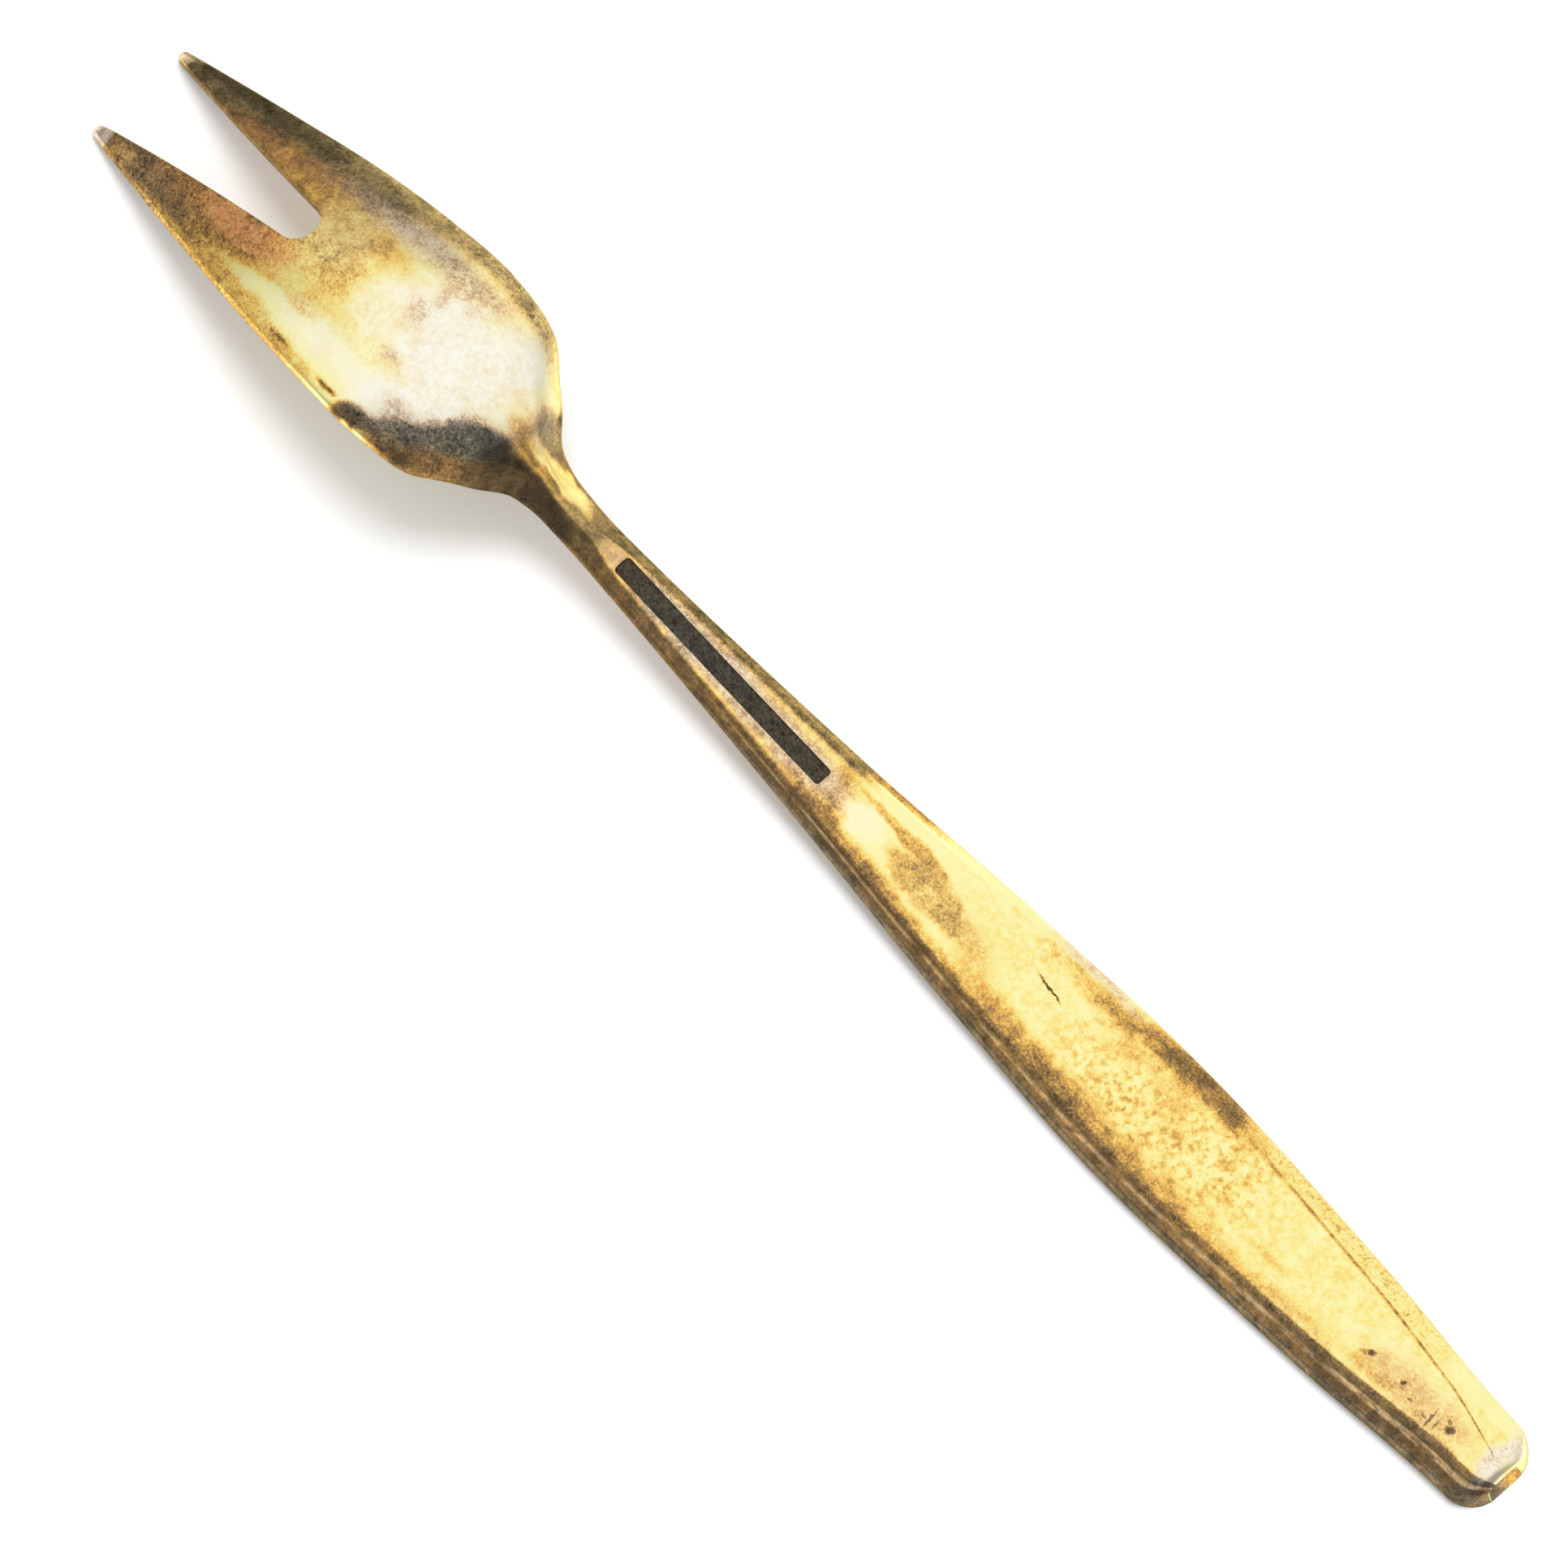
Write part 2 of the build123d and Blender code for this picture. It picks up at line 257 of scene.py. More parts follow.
class ForkShape:
    """The form of the fork, by its sections from the tips to the end of the handle."""

    # Distances over which the outline and the heights are blended, so that reflections run smoothly
    outline_blur = 0.7 * MM
    height_blur = 2.6 * MM
    # Steps of that blend, weighted as a row of binomial numbers
    blur_steps = 8
    # The recess's wall leans from a little inside its outline to a little outside
    recess_wall = (-0.05 * MM, 0.02 * MM)
    # Run over which the lean and bow of the end face set in, and how high up the end its middle lies
    end_run = 3 * MM
    end_middle_share = 0.45
    # Strips of the half section and their steps, from the slot or the middle below round to that above
    strips = {"face": 14, "wall": 9, "bevel": 12, "panel": 12, "middle": 12, "round": 4, "slot": 5}
    columns = [("face", 0.0)]
    columns += [(strip, part) for strip, steps in strips.items() for part in spread(0.0, 1.0, steps)]

    def __init__(self, sizes):
        self.sizes = sizes
        self.root = sizes.tine_length
        self.bowl = self.root + sizes.web_length
        self.heel = self.bowl + sizes.heel_length
        self.neck = self.heel + sizes.throat_length
        self.recess_start = self.neck + sizes.recess_gap
        self.recess_end = self.recess_start + sizes.recess_length
        self.belly = self.recess_end + sizes.stem_length
        self.length = self.belly + sizes.handle_length
        self.sections = self.key_sections()
        self.places = [section.at for section in self.sections]
        columns = [
            steady_slopes(self.places, [getattr(section, field.name) for section in self.sections])
            for field in fields(Section)
        ]
        self.slopes = [Section(*values) for values in zip(*columns)]
        corner_at = self.length - sizes.end_corner_radius
        self.corner_half = self.section(corner_at).half_width - sizes.end_corner_radius
        self.recess_tops = [self.section(place).top for place in (self.recess_start, self.recess_end)]
        self.end_top = self.section(self.length).top
        self.end_middle = self.end_top * self.end_middle_share

    def dished(self, at, width, rim, rise, dish):
        """A section of the head, whose back is one parabola from rim to rim."""
        panel_share = self.sizes.back_panel_share
        middle = rise * panel_share**2
        bow = rise * (1 - panel_share) ** 2 / 2
        half = width / 2
        wall = self.sizes.rim_thickness
        return Section(at, half, rim, wall, panel_share * half, rise - middle, middle, bow, dish)

    def bevelled(self, at, width, rim, edge, bevel_width, bevel_rise, crown):
        """A section of the stem or handle: a crowned panel between two bevels, flat underneath."""
        panel = width / 2 - self.sizes.edge_bulge - bevel_width
        return Section(at, width / 2, rim, edge, panel, bevel_rise, crown)

    def key_sections(self):
        """The sections at the landmarks and the ones that shape the runs between them."""
        size = self.sizes
        sole = -size.sole_trim
        side = size.handle_edge + size.sole_trim
        tip_width = size.tip_spacing + 2 * size.tip_end_share * size.tip_radius
        tip = self.dished(0.0, tip_width, sole, size.tip_rise, size.tip_dish)
        root = self.dished(self.root, size.root_width, size.root_height, size.root_rise, size.root_dish)
        bowl = self.dished(self.bowl, size.head_width, size.bowl_height, size.bowl_rise, size.bowl_dish)
        heel = self.dished(self.heel, size.heel_width, size.heel_height, size.heel_rise, size.heel_dish)
        neck = Section(
            self.neck, size.neck_width / 2, size.neck_height, size.neck_edge,
            size.keel_width / 2, size.keel_rise, size.keel_crown,
        )
        belly = self.bevelled(
            self.belly, size.handle_width, sole, side,
            size.handle_bevel_width, size.handle_bevel_rise, size.handle_crown,
        )
        end_shape = (size.end_bevel_width, size.end_bevel_rise, size.end_crown)
        end = self.bevelled(self.length - size.end_drop_length, size.end_width, sole, side, *end_shape)
        lip = self.bevelled(self.length, size.end_width, sole, side - size.end_drop, *end_shape)

        def between(first, last, place, width, height, form):
            """A section part of the way between two others, each kind of measure by its own share."""

            def mix(name, part):
                start = getattr(first, name)
                return start + (getattr(last, name) - start) * part

            parts = {"at": place, "half_width": width, "panel": width, "rim": height}
            return Section(**{f.name: mix(f.name, parts.get(f.name, form)) for f in fields(Section)})

        def stem(at, width_share, height_share):
            """A section of the stem, some way from the neck's width and height to the belly's."""
            half = neck.half_width + (belly.half_width - neck.half_width) * width_share
            rim = neck.rim + (belly.rim - neck.rim) * height_share
            bevel = (size.stem_bevel_width, size.stem_bevel_rise, size.stem_crown)
            return self.bevelled(at, 2 * half, rim, size.stem_edge, *bevel)

        recess_start = stem(self.recess_start, width_share=0.025, height_share=0.11)
        recess_end = stem(self.recess_end, width_share=0.37, height_share=0.58)
        return [
            tip,
            between(tip, root, place=0.5, width=0.54, height=0.5, form=0.6),
            root,
            between(root, bowl, place=0.5, width=0.64, height=0.62, form=0.62),
            bowl,
            between(bowl, heel, place=0.6, width=0.33, height=0.05, form=0.3),
            heel,
            between(heel, neck, place=0.21, width=0.34, height=0.16, form=0.36),
            between(heel, neck, place=0.35, width=0.57, height=0.3, form=0.6),
            between(heel, neck, place=0.51, width=0.88, height=0.57, form=0.84),
            between(heel, neck, place=0.72, width=0.985, height=0.79, form=0.96),
            neck,
            recess_start,
            recess_end,
            between(recess_end, belly, place=0.52, width=0.64, height=0.62, form=0.5),
            belly,
            between(belly, end, place=0.55, width=0.4, height=0.5, form=0.5),
            end,
            lip,
        ]

    def exact_section(self, at):
        """The section at a distance from the tips, on the steady curves."""
        at = min(max(at, 0.0), self.length)
        k = max(k for k in range(len(self.places) - 1) if k == 0 or self.places[k] <= at)
        first, last = self.sections[k], self.sections[k + 1]
        run = last.at - first.at
        part = (at - first.at) / run
        rest = 1 - part
        first_weights = [rest**2 * (1 + 2 * part), part * rest**2 * run]
        last_weights = [part**2 * (1 + 2 * rest), -rest * part**2 * run]
        return combine([first, self.slopes[k], last, self.slopes[k + 1]], first_weights + last_weights)

    def blended_section(self, at, blur):
        """The section at a distance from the tips, blended with its neighbours."""
        reach = min(blur, at, self.length - at)
        steps = self.blur_steps
        offsets = [2 * k / steps - 1 for k in range(steps + 1)]
        weights = [math.comb(steps, k) / 2**steps for k in range(steps + 1)]
        return combine([self.exact_section(at + reach * part) for part in offsets], weights)

    def section(self, at):
        """The section at a distance from the tips, with a crisp outline and smooth heights."""
        outline = self.blended_section(at, self.outline_blur)
        heights = self.blended_section(at, self.height_blur)
        return replace(heights, half_width=outline.half_width, panel=outline.panel)

    def slot_half(self, at):
        """Half the width of the slot between the tines."""
        size = self.sizes
        tip_y = size.tip_spacing / 2
        if at < size.tip_radius:
            return tip_y - math.sqrt(max(0.0, size.tip_radius**2 - (size.tip_radius - at) ** 2))
        centre = self.root - size.slot_root_radius
        start_y = tip_y - size.tip_radius
        run = centre - size.tip_radius
        lean = math.atan2(start_y, run) - math.asin(size.slot_root_radius / math.hypot(run, start_y))
        touch = centre + size.slot_root_radius * math.sin(lean)
        if at < touch:
            part = (at - size.tip_radius) / (touch - size.tip_radius)
            finish_y = size.slot_root_radius * math.cos(lean)
            return start_y + (finish_y - start_y) * part - 4 * part * (1 - part) * size.slot_side_bow
        return math.sqrt(max(0.0, size.slot_root_radius**2 - (at - centre) ** 2))

    def recess_floor(self, at, y):
        """How much of the struck recess is at a place, from 0 to 1, and the height of its floor."""
        size = self.sizes
        middle = (self.recess_start + self.recess_end) / 2
        across = abs(y) - size.recess_width / 2 + size.recess_corner_radius
        along = abs(at - middle) - size.recess_length / 2 + size.recess_corner_radius
        outside = math.hypot(max(across, 0.0), max(along, 0.0)) - size.recess_corner_radius
        distance = outside + min(max(across, along), 0.0)
        part = (at - self.recess_start) / size.recess_length
        first, last = self.recess_tops
        height = first + (last - first) * part - size.recess_depth
        return 1 - ease(*self.recess_wall, distance), height

    def stations(self):
        """Distances from the tips at which the skin has a row of points."""

        def quarter(centre, radius, turn_step):
            turns = range(turn_step, 91, turn_step)
            return [centre + radius * math.sin(math.radians(turn)) for turn in turns]

        size = self.sizes
        tip_turns = (0, 20, 30, 40, 50, 60, 70, 80, 90)
        rows = [size.tip_radius * (1 - math.cos(math.radians(turn))) for turn in tip_turns]
        slot_centre = self.root - size.slot_root_radius
        rows += spread(size.tip_radius, slot_centre, 60)
        rows += quarter(slot_centre, size.slot_root_radius, 6)
        # The rows lie close together at the two ends of the recess
        near = 0.5 * MM
        rows += spread(self.root, self.recess_start - near, 90)
        rows += spread(self.recess_start - near, self.recess_start + near, 24)
        rows += spread(self.recess_start + near, self.recess_end - near, 44)
        rows += spread(self.recess_end - near, self.recess_end + near, 24)
        corner = self.length - size.end_corner_radius
        rows += spread(self.recess_end + near, corner, 190)
        rows += quarter(corner, size.end_corner_radius, 5)
        return rows

    def end_round(self, at, y):
        """How far the worn edge of the handle's end drops below the back at a place."""
        size = self.sizes
        along = at - (self.length - size.end_corner_radius)
        if along <= 0:
            return 0.0
        to_edge = size.end_corner_radius - math.hypot(along, max(0.0, y - self.corner_half))
        radius = size.end_edge_round * ease(0.0, size.end_corner_radius, along)
        inside = min(radius, max(0.0, radius - to_edge))
        return radius - math.sqrt(radius**2 - inside**2)

    def ring(self, at):
        """The points of the half section at a distance from the tips, with their place round it."""
        size = self.sizes
        section = self.section(at)
        inner = self.slot_half(at) if at < self.root else 0.0
        bulge = size.edge_bulge
        foot = section.half_width - bulge
        cut = 1.0
        if at < size.tip_radius:
            chord = size.tip_spacing / 2 - inner
            bulge *= chord / size.tip_radius
            foot = min(foot, size.tip_spacing / 2 + chord - bulge)
        past_corner = at - (self.length - size.end_corner_radius)
        if past_corner > 0:
            corner = math.sqrt(max(0.0, size.end_corner_radius**2 - past_corner**2))
            cut = (self.corner_half + corner) / section.half_width
        # The slot's worn edge shrinks where the slot or the tine is narrow
        edge_round = min(size.slot_edge_round * min(1.0, inner / (0.6 * MM)), 0.25 * (foot - inner))
        inner_top = inner + edge_round
        panel = max(section.panel, inner_top + 0.35 * (foot - inner_top))
        line = inner_top + min(size.recess_width / 2, 0.7 * (panel - inner_top))
        # The end's round corners cut across the section
        panel, line, outer, bulge = panel * cut, line * cut, foot * cut, bulge * cut
        outer_top = section.back(outer, foot) - self.end_round(at, outer)
        points = []
        for strip, part in self.columns:
            if strip == "face":
                y = inner + (outer - inner) * part
                z = section.face(y, foot)
                across = 4 - part
            elif strip == "wall":
                y = outer + 4 * part * (1 - part) * bulge
                low = section.face(outer, foot)
                z = max(low, section.rim + (outer_top - section.rim) * part)
                across = 3 - part
            elif strip == "bevel":
                y = outer + (panel - outer) * part
                z = section.back(y, foot) - self.end_round(at, y)
                across = 2 - part
            elif strip in ("panel", "middle"):
                if strip == "panel":
                    y = panel + (line - panel) * (1 - (1 - part) ** 2)
                else:
                    y = line + (inner_top - line) * part**2
                z = section.back(y, foot) - self.end_round(at, y)
                across = y / panel
                depth, floor = self.recess_floor(at, y)
                z += (floor - z) * depth
                across += RECESS_FLOOR * depth
            elif strip == "round" and inner == 0.0:
                y, z, across = points[-1]
            elif strip == "round":
                turn = math.radians(90 * part)
                y = inner + edge_round * (1 - math.sin(turn))
                z = section.back(inner_top, foot) - edge_round * (1 - math.cos(turn))
                across = 0.0
            else:
                y = inner
                top = section.back(inner_top, foot) - edge_round
                z = top + (section.face(y, foot) - top) * part
                across = SLOT_WALL
            points.append((y, z, across))
        if at < size.tip_round:
            thin = math.sqrt(max(0.0, 1 - (1 - at / size.tip_round) ** 2))
            middle = (section.face(foot, foot) + section.back(foot, foot)) / 2
            points = [(y, middle + (z - middle) * thin, across) for y, z, across in points]
        return points

    def place(self, at, y, z):
        """A point of the skin in the fork's frame, where the end face leans and bows."""
        size = self.sizes
        pull = ease(self.length - self.end_run, self.length, at)
        lean = size.end_slope * z / self.end_top
        bow = size.end_bow_radius - math.sqrt(size.end_bow_radius**2 - y * y)
        return Vector((at - self.length / 2 - pull * (lean + bow), y, z))


def build_fork_mesh(shape):
    """Half of the skin starts as a grid, is drawn over the sections, and is mirrored."""
    stations = shape.stations()
    columns = shape.columns
    # Rings of the end face, as shares of the way to its middle
    cap_rows = (0.04, 0.15, 0.35, 0.6, 0.85, 1.0)
    # Points nearer than this are one
    hair = 1e-8
    row_count = len(stations) + len(cap_rows)
    mesh_maker = bmesh.new()
    around = mesh_maker.verts.layers.float.new("around")
    bmesh.ops.create_grid(mesh_maker, x_segments=row_count - 1, y_segments=len(columns) - 1, size=1.0)
    places = {}
    for vert in mesh_maker.verts:
        row = round((vert.co.x + 1) / 2 * (row_count - 1))
        column = round((vert.co.y + 1) / 2 * (len(columns) - 1))
        places[vert] = (row, column)
    if len(set(places.values())) != row_count * len(columns):
        raise RuntimeError("the grid for the fork's skin has the wrong number of points")
    rings = [shape.ring(at) for at in stations]
    cap_centre = shape.place(shape.length, 0.0, shape.end_middle)
    for vert, (row, column) in places.items():
        y, z, vert[around] = rings[min(row, len(stations) - 1)][column]
        at = stations[min(row, len(stations) - 1)]
        vert.co = shape.place(at, y, z)
        if row >= len(stations):
            vert.co = vert.co.lerp(cap_centre, cap_rows[row - len(stations)])
            lean = shape.sizes.end_slope * vert.co.z / shape.end_top
            vert.co.x = shape.length / 2 - lean
            vert[around] = END_FACE
    # Behind the root of the slot the two halves join, so the slot's wall ends there
    root_row = min(k for k, at in enumerate(stations) if at >= shape.root - hair)
    wall = {k for k, (strip, part) in enumerate(columns) if strip == "slot"}
    spare = [
        face
        for face in mesh_maker.faces
        if min(places[vert][0] for vert in face.verts) >= root_row
        and any(places[vert][1] in wall for vert in face.verts)
    ]
    bmesh.ops.delete(mesh_maker, geom=spare, context="FACES")
    bmesh.ops.remove_doubles(mesh_maker, verts=mesh_maker.verts[:], dist=2 * hair)
    geometry = mesh_maker.verts[:] + mesh_maker.edges[:] + mesh_maker.faces[:]
    bmesh.ops.mirror(mesh_maker, geom=geometry, matrix=Matrix.Identity(4), merge_dist=10 * hair, axis="Y")
    bmesh.ops.dissolve_degenerate(mesh_maker, edges=mesh_maker.edges[:], dist=hair)
    bmesh.ops.recalc_face_normals(mesh_maker, faces=mesh_maker.faces[:])
    # Shallow dents of use on the back, so many to a metre
    dents_along, dents_across = 170, 260
    for vert in mesh_maker.verts:
        if vert[around] < 2.0 and vert.normal.z > 0.3:
            dent = 0.5 + 0.5 * noise.noise(Vector((vert.co.x * dents_along, vert.co.y * dents_across, 3.1)))
            vert.co.z -= shape.sizes.waviness * dent
    open_edges = [edge for edge in mesh_maker.edges if len(edge.link_faces) != 2]
    if open_edges:
        raise RuntimeError(f"the fork's skin has {len(open_edges)} open edges")
    mesh = bpy.data.meshes.new("fork_skin")
    mesh_maker.to_mesh(mesh)
    mesh_maker.free()
    mesh.shade_smooth()
    return mesh


@dataclass
class Stain:
    """A soft oval on the fork that a film or its lack is painted in, in millimetres and degrees."""

    at: float  # along the fork
    y: float
    long: float  # half its length
    wide: float  # half its width
    level: float  # what is painted: how thick the film is, or how bare the silver
    turn: float = 0.0  # from along the fork toward +Y
    soft: float = 0.7  # how gently it fades
    cover: float = 1.0

    def fade(self, places):
        """How much of the stain is at each of many places."""
        turn = math.radians(self.turn)
        along = places[:, 0] - self.at
        across = places[:, 1] - self.y
        long = (along * math.cos(turn) + across * math.sin(turn)) / self.long
        wide = (across * math.cos(turn) - along * math.sin(turn)) / self.wide
        reach = numpy.hypot(long, wide)
        part = numpy.clip((1 + self.soft / 2 - reach) / (1.5 * self.soft), 0.0, 1.0)
        return part * part * (3 - 2 * part) * self.cover


# How thick the tarnish is, from bright metal at 0 to black oxide at 1; the dark heel and neck stains also
# paint shade
TARNISH_AND_SHADE = [
    # Tines and web
    Stain(8.0, 0.0, 12.5, 9.0, 0.65, soft=0.5),
    Stain(18.0, -0.4, 4.4, 6.5, 0.36),
    Stain(18.2, -3.0, 3.0, 1.6, 0.2, cover=0.9),
    Stain(8.0, 3.3, 7.0, 1.2, 0.69, turn=7, soft=0.9),
    Stain(16.5, 4.9, 7.5, 1.5, 0.63, turn=8),
    Stain(4.5, 4.1, 8.0, 1.5, 0.8, turn=8),
    Stain(13.5, 2.9, 4.8, 0.9, 0.52, turn=6, soft=0.9),
    Stain(4.5, -4.0, 5.0, 1.2, 0.72, turn=-8, cover=0.85),
    Stain(2.7, -3.9, 1.3, 0.4, 0.42, turn=-8, soft=0.9, cover=0.8),
    Stain(12.4, -2.9, 4.6, 1.2, 0.46, turn=4),
    Stain(13.0, -5.2, 4.0, 0.7, 0.55, turn=-12, cover=0.8),
    Stain(-0.5, -3.8, 1.3, 1.3, 0.28, soft=0.3),
    Stain(-0.6, 3.7, 1.15, 1.3, 0.26, soft=0.3),
    # Bowl
    Stain(23.0, 1.8, 2.8, 2.0, 0.18, soft=0.8),
    Stain(20.6, 2.3, 1.8, 1.0, 0.46, turn=10, soft=0.9, cover=0.9),
    Stain(28.4, 0.4, 6.4, 4.1, 0.05, soft=0.5),
    Stain(32.2, 3.6, 2.6, 2.0, 0.05, turn=-40),
    Stain(32.3, 2.6, 0.12, 2.4, 0.3, turn=-28, soft=0.9, cover=0.7),
    Stain(23.6, -0.6, 2.3, 1.6, 0.05),
    Stain(25.8, 1.6, 0.8, 3.2, 0.34, turn=-4, soft=0.9, cover=0.9),
    Stain(25.0, 4.6, 6.0, 1.3, 0.41, turn=3, soft=0.8),
    Stain(27.0, 3.6, 2.2, 0.8, 0.36, turn=-10, soft=0.9, cover=0.8),
    Stain(19.8, -5.1, 7.0, 0.75, 0.03, turn=-3, soft=0.3),
    Stain(25.0, -4.3, 4.2, 1.5, 0.03, turn=4, soft=0.25),
    Stain(26.5, -2.7, 1.9, 0.7, 0.38, turn=-20, soft=0.95, cover=0.8),
    Stain(18.0, -6.1, 6.5, 0.45, 0.3, turn=-7, soft=0.8, cover=0.8),
    Stain(19.8, -6.25, 1.3, 0.2, 0.8, turn=-4),
    Stain(24.9, -6.65, 0.65, 0.22, 0.8),
    Stain(29.4, -5.0, 1.9, 1.1, 0.45, turn=30, soft=0.9, cover=0.8),
    # Heel and neck. The dark wedge on their left slopes is partly tarnish and partly painted shade, where
    # those slopes mirror the dark room.
    Stain(33.0, -5.1, 4.6, 2.1, 0.68, turn=25, soft=0.45),
    Stain(31.0, -6.2, 2.0, 0.5, 0.78, turn=22),
    Stain(27.4, -6.8, 2.0, 0.6, 0.8, turn=16, soft=0.4),
    Stain(30.2, -5.4, 2.2, 0.8, 0.74, turn=34, soft=0.6),
    Stain(32.6, -3.5, 2.2, 1.0, 0.76, turn=48, soft=0.55),
    Stain(34.5, -1.8, 2.3, 1.5, 0.79, turn=25, soft=0.45),
    Stain(36.6, -2.7, 2.4, 1.1, 0.88, turn=33, soft=0.6),
    Stain(35.9, 1.9, 1.7, 1.3, 0.66, turn=-35, soft=0.8),
    Stain(36.6, 2.9, 2.2, 0.5, 0.7, turn=-38),
    Stain(39.5, 1.55, 4.0, 0.5, 0.66, turn=-4),
    Stain(42.6, 0.0, 3.0, 2.4, 0.6, soft=0.8),
    Stain(38.2, -1.5, 4.8, 1.4, 0.9, turn=3, soft=0.35),
    Stain(38.2, 0.1, 3.4, 0.35, 0.6, soft=0.6),
    Stain(35.6, 0.5, 1.3, 0.9, 0.56, soft=0.8),
    Stain(39.5, 0.8, 2.8, 0.46, 0.22, turn=-4, soft=0.4),
    Stain(44.8, -0.2, 1.2, 0.9, 0.38, soft=0.8),
    # Stem
    Stain(55.0, 0.0, 11.0, 1.5, 0.42, soft=0.3),
    Stain(60.5, 0.0, 6.0, 2.0, 0.4, soft=0.6),
    Stain(48.0, 0.0, 3.6, 1.3, 0.54, soft=0.8),
    Stain(65.3, 0.4, 1.6, 1.9, 0.44, soft=0.8),
    Stain(65.0, -1.6, 3.0, 0.6, 0.62, turn=-6),
    # Handle
    Stain(68.6, -0.1, 2.6, 1.0, 0.0, soft=0.22),
    Stain(68.3, -1.35, 2.1, 0.4, 0.02, soft=0.3),
    Stain(69.8, 2.1, 3.4, 0.6, 0.0, turn=6, soft=0.25),
    Stain(75.5, 2.4, 9.0, 1.05, 0.0, turn=1, soft=0.22),
    Stain(70.9, 1.2, 4.6, 0.42, 0.42, turn=-1, soft=0.35),
    Stain(74.4, -0.3, 4.3, 1.35, 0.45, turn=-4, soft=0.35),
    Stain(78.8, -0.8, 2.4, 1.6, 0.4, soft=0.9, cover=0.7),
    Stain(71.5, -2.25, 8.0, 0.65, 0.6, turn=-6.5),
    Stain(78.5, -2.85, 6.0, 0.4, 0.38, turn=-5, soft=0.8),
    Stain(83.0, -2.4, 5.0, 0.9, 0.42, turn=-4, soft=0.9, cover=0.85),
    Stain(90.0, -3.1, 10.0, 1.4, 0.64, turn=-2),
    Stain(97.5, -3.5, 7.0, 1.1, 0.56, turn=3),
    Stain(97.5, -2.3, 5.5, 1.4, 0.4, turn=8, soft=0.9, cover=0.8),
    Stain(107.0, -2.6, 8.0, 0.7, 0.38, turn=5, soft=0.9, cover=0.9),
    Stain(94.0, 0.4, 9.5, 2.9, 0.07, soft=0.8),
    Stain(95.5, -3.2, 4.0, 0.85, 0.5, soft=0.9, cover=0.8),
    Stain(91.0, 2.2, 2.4, 1.3, 0.38, turn=20, soft=0.95, cover=0.8),
    Stain(94.8, 1.6, 2.0, 1.5, 0.42, turn=-20, soft=0.95, cover=0.8),
    Stain(88.5, 3.3, 5.4, 0.95, 0.48, turn=4, soft=0.8),
    Stain(85.0, 4.2, 3.6, 0.4, 0.3, turn=3, soft=0.8),
    Stain(95.0, 4.0, 6.4, 1.25, 0.66, soft=0.6),
    Stain(102.0, 3.6, 3.2, 0.45, 0.45, turn=-8, soft=0.8, cover=0.7),
    Stain(106.3, -1.1, 2.2, 0.5, 0.36, turn=8, soft=0.9, cover=0.8),
    Stain(119.5, -0.4, 5.5, 1.5, 0.31, soft=0.6),
    Stain(117.0, -1.3, 3.5, 0.6, 0.4, turn=5, soft=0.9, cover=0.8),
    Stain(121.5, -1.9, 4.0, 0.6, 0.68, turn=6, soft=0.5),
    # The end's rounded top edge: a thin film over rubbed silver, partly worn metal and partly a painted
    # highlight
    Stain(125.6, 0.2, 0.7, 3.6, 0.28, soft=0.6, cover=0.9),
]
# How far the gilding is rubbed through to the silver, from 0 to 1; the stain on the end's edge is partly a
# painted highlight
BARE_AND_HIGHLIGHT = [
    Stain(-0.5, -3.8, 1.4, 1.4, 1.0, soft=0.3),
    Stain(-0.6, 3.7, 1.4, 1.4, 1.0, soft=0.3),
    Stain(4.5, 4.1, 8.0, 1.5, 0.25, turn=8, soft=0.9),
    Stain(5.0, -3.9, 4.0, 1.2, 0.35, turn=-8, soft=0.9),
    Stain(21.0, 4.5, 8.5, 1.3, 0.7, turn=4, soft=0.8),
    Stain(28.8, 0.4, 6.4, 4.4, 0.86, soft=0.5),
    Stain(32.2, 3.6, 2.6, 2.0, 0.85, turn=-40),
    Stain(24.0, -1.0, 2.6, 1.8, 0.5, soft=0.8),
    Stain(24.0, -4.7, 6.5, 1.3, 0.5),
    Stain(30.0, -4.2, 4.6, 2.0, 0.9, turn=28, soft=0.5),
    Stain(33.8, -2.2, 2.6, 1.3, 0.95, turn=42, soft=0.5),
    Stain(35.7, 1.8, 1.7, 1.2, 0.6, turn=-35, soft=0.8),
    Stain(55.0, 0.0, 11.0, 1.3, 0.8, soft=0.4),
    Stain(67.8, -0.1, 2.4, 1.1, 0.3),
    Stain(60.5, 0.0, 5.5, 1.5, 0.65, soft=0.6),
    Stain(85.0, 4.2, 4.5, 0.5, 0.6),
    Stain(119.5, -0.3, 5.5, 1.7, 0.25),
    # The end's rounded top edge is rubbed pale, partly worn silver and partly a painted highlight
    Stain(125.6, 0.2, 0.8, 3.6, 0.9, soft=0.6),
]
# Reddish blush
COPPER = [
    Stain(12.0, -2.8, 4.2, 1.2, 0.95, turn=4, soft=0.7),
    Stain(15.4, -2.6, 1.7, 1.2, 0.6, soft=0.9),
    Stain(9.0, 3.0, 6.0, 0.8, 0.45, turn=7, soft=0.9),
    Stain(7.0, -3.4, 4.0, 0.9, 0.4, turn=-3, soft=0.9),
]
# Greenish cast of the film
OLIVE = [
    Stain(12.0, 5.0, 16.0, 0.9, 0.9, turn=6, soft=0.9),
    Stain(18.0, 0.9, 3.2, 3.0, 0.9, soft=0.8),
    Stain(25.0, 4.6, 7.0, 1.4, 0.8, turn=3, soft=0.9),
    Stain(36.2, 2.4, 2.6, 1.3, 0.9, turn=-35, soft=0.8),
    Stain(42.0, 0.5, 3.4, 2.2, 0.7, soft=0.8),
    Stain(75.0, -0.2, 4.8, 1.6, 0.4, turn=-3, soft=0.6),
    Stain(114.0, -2.5, 12.0, 0.6, 0.45, turn=5.5, soft=0.8),
]
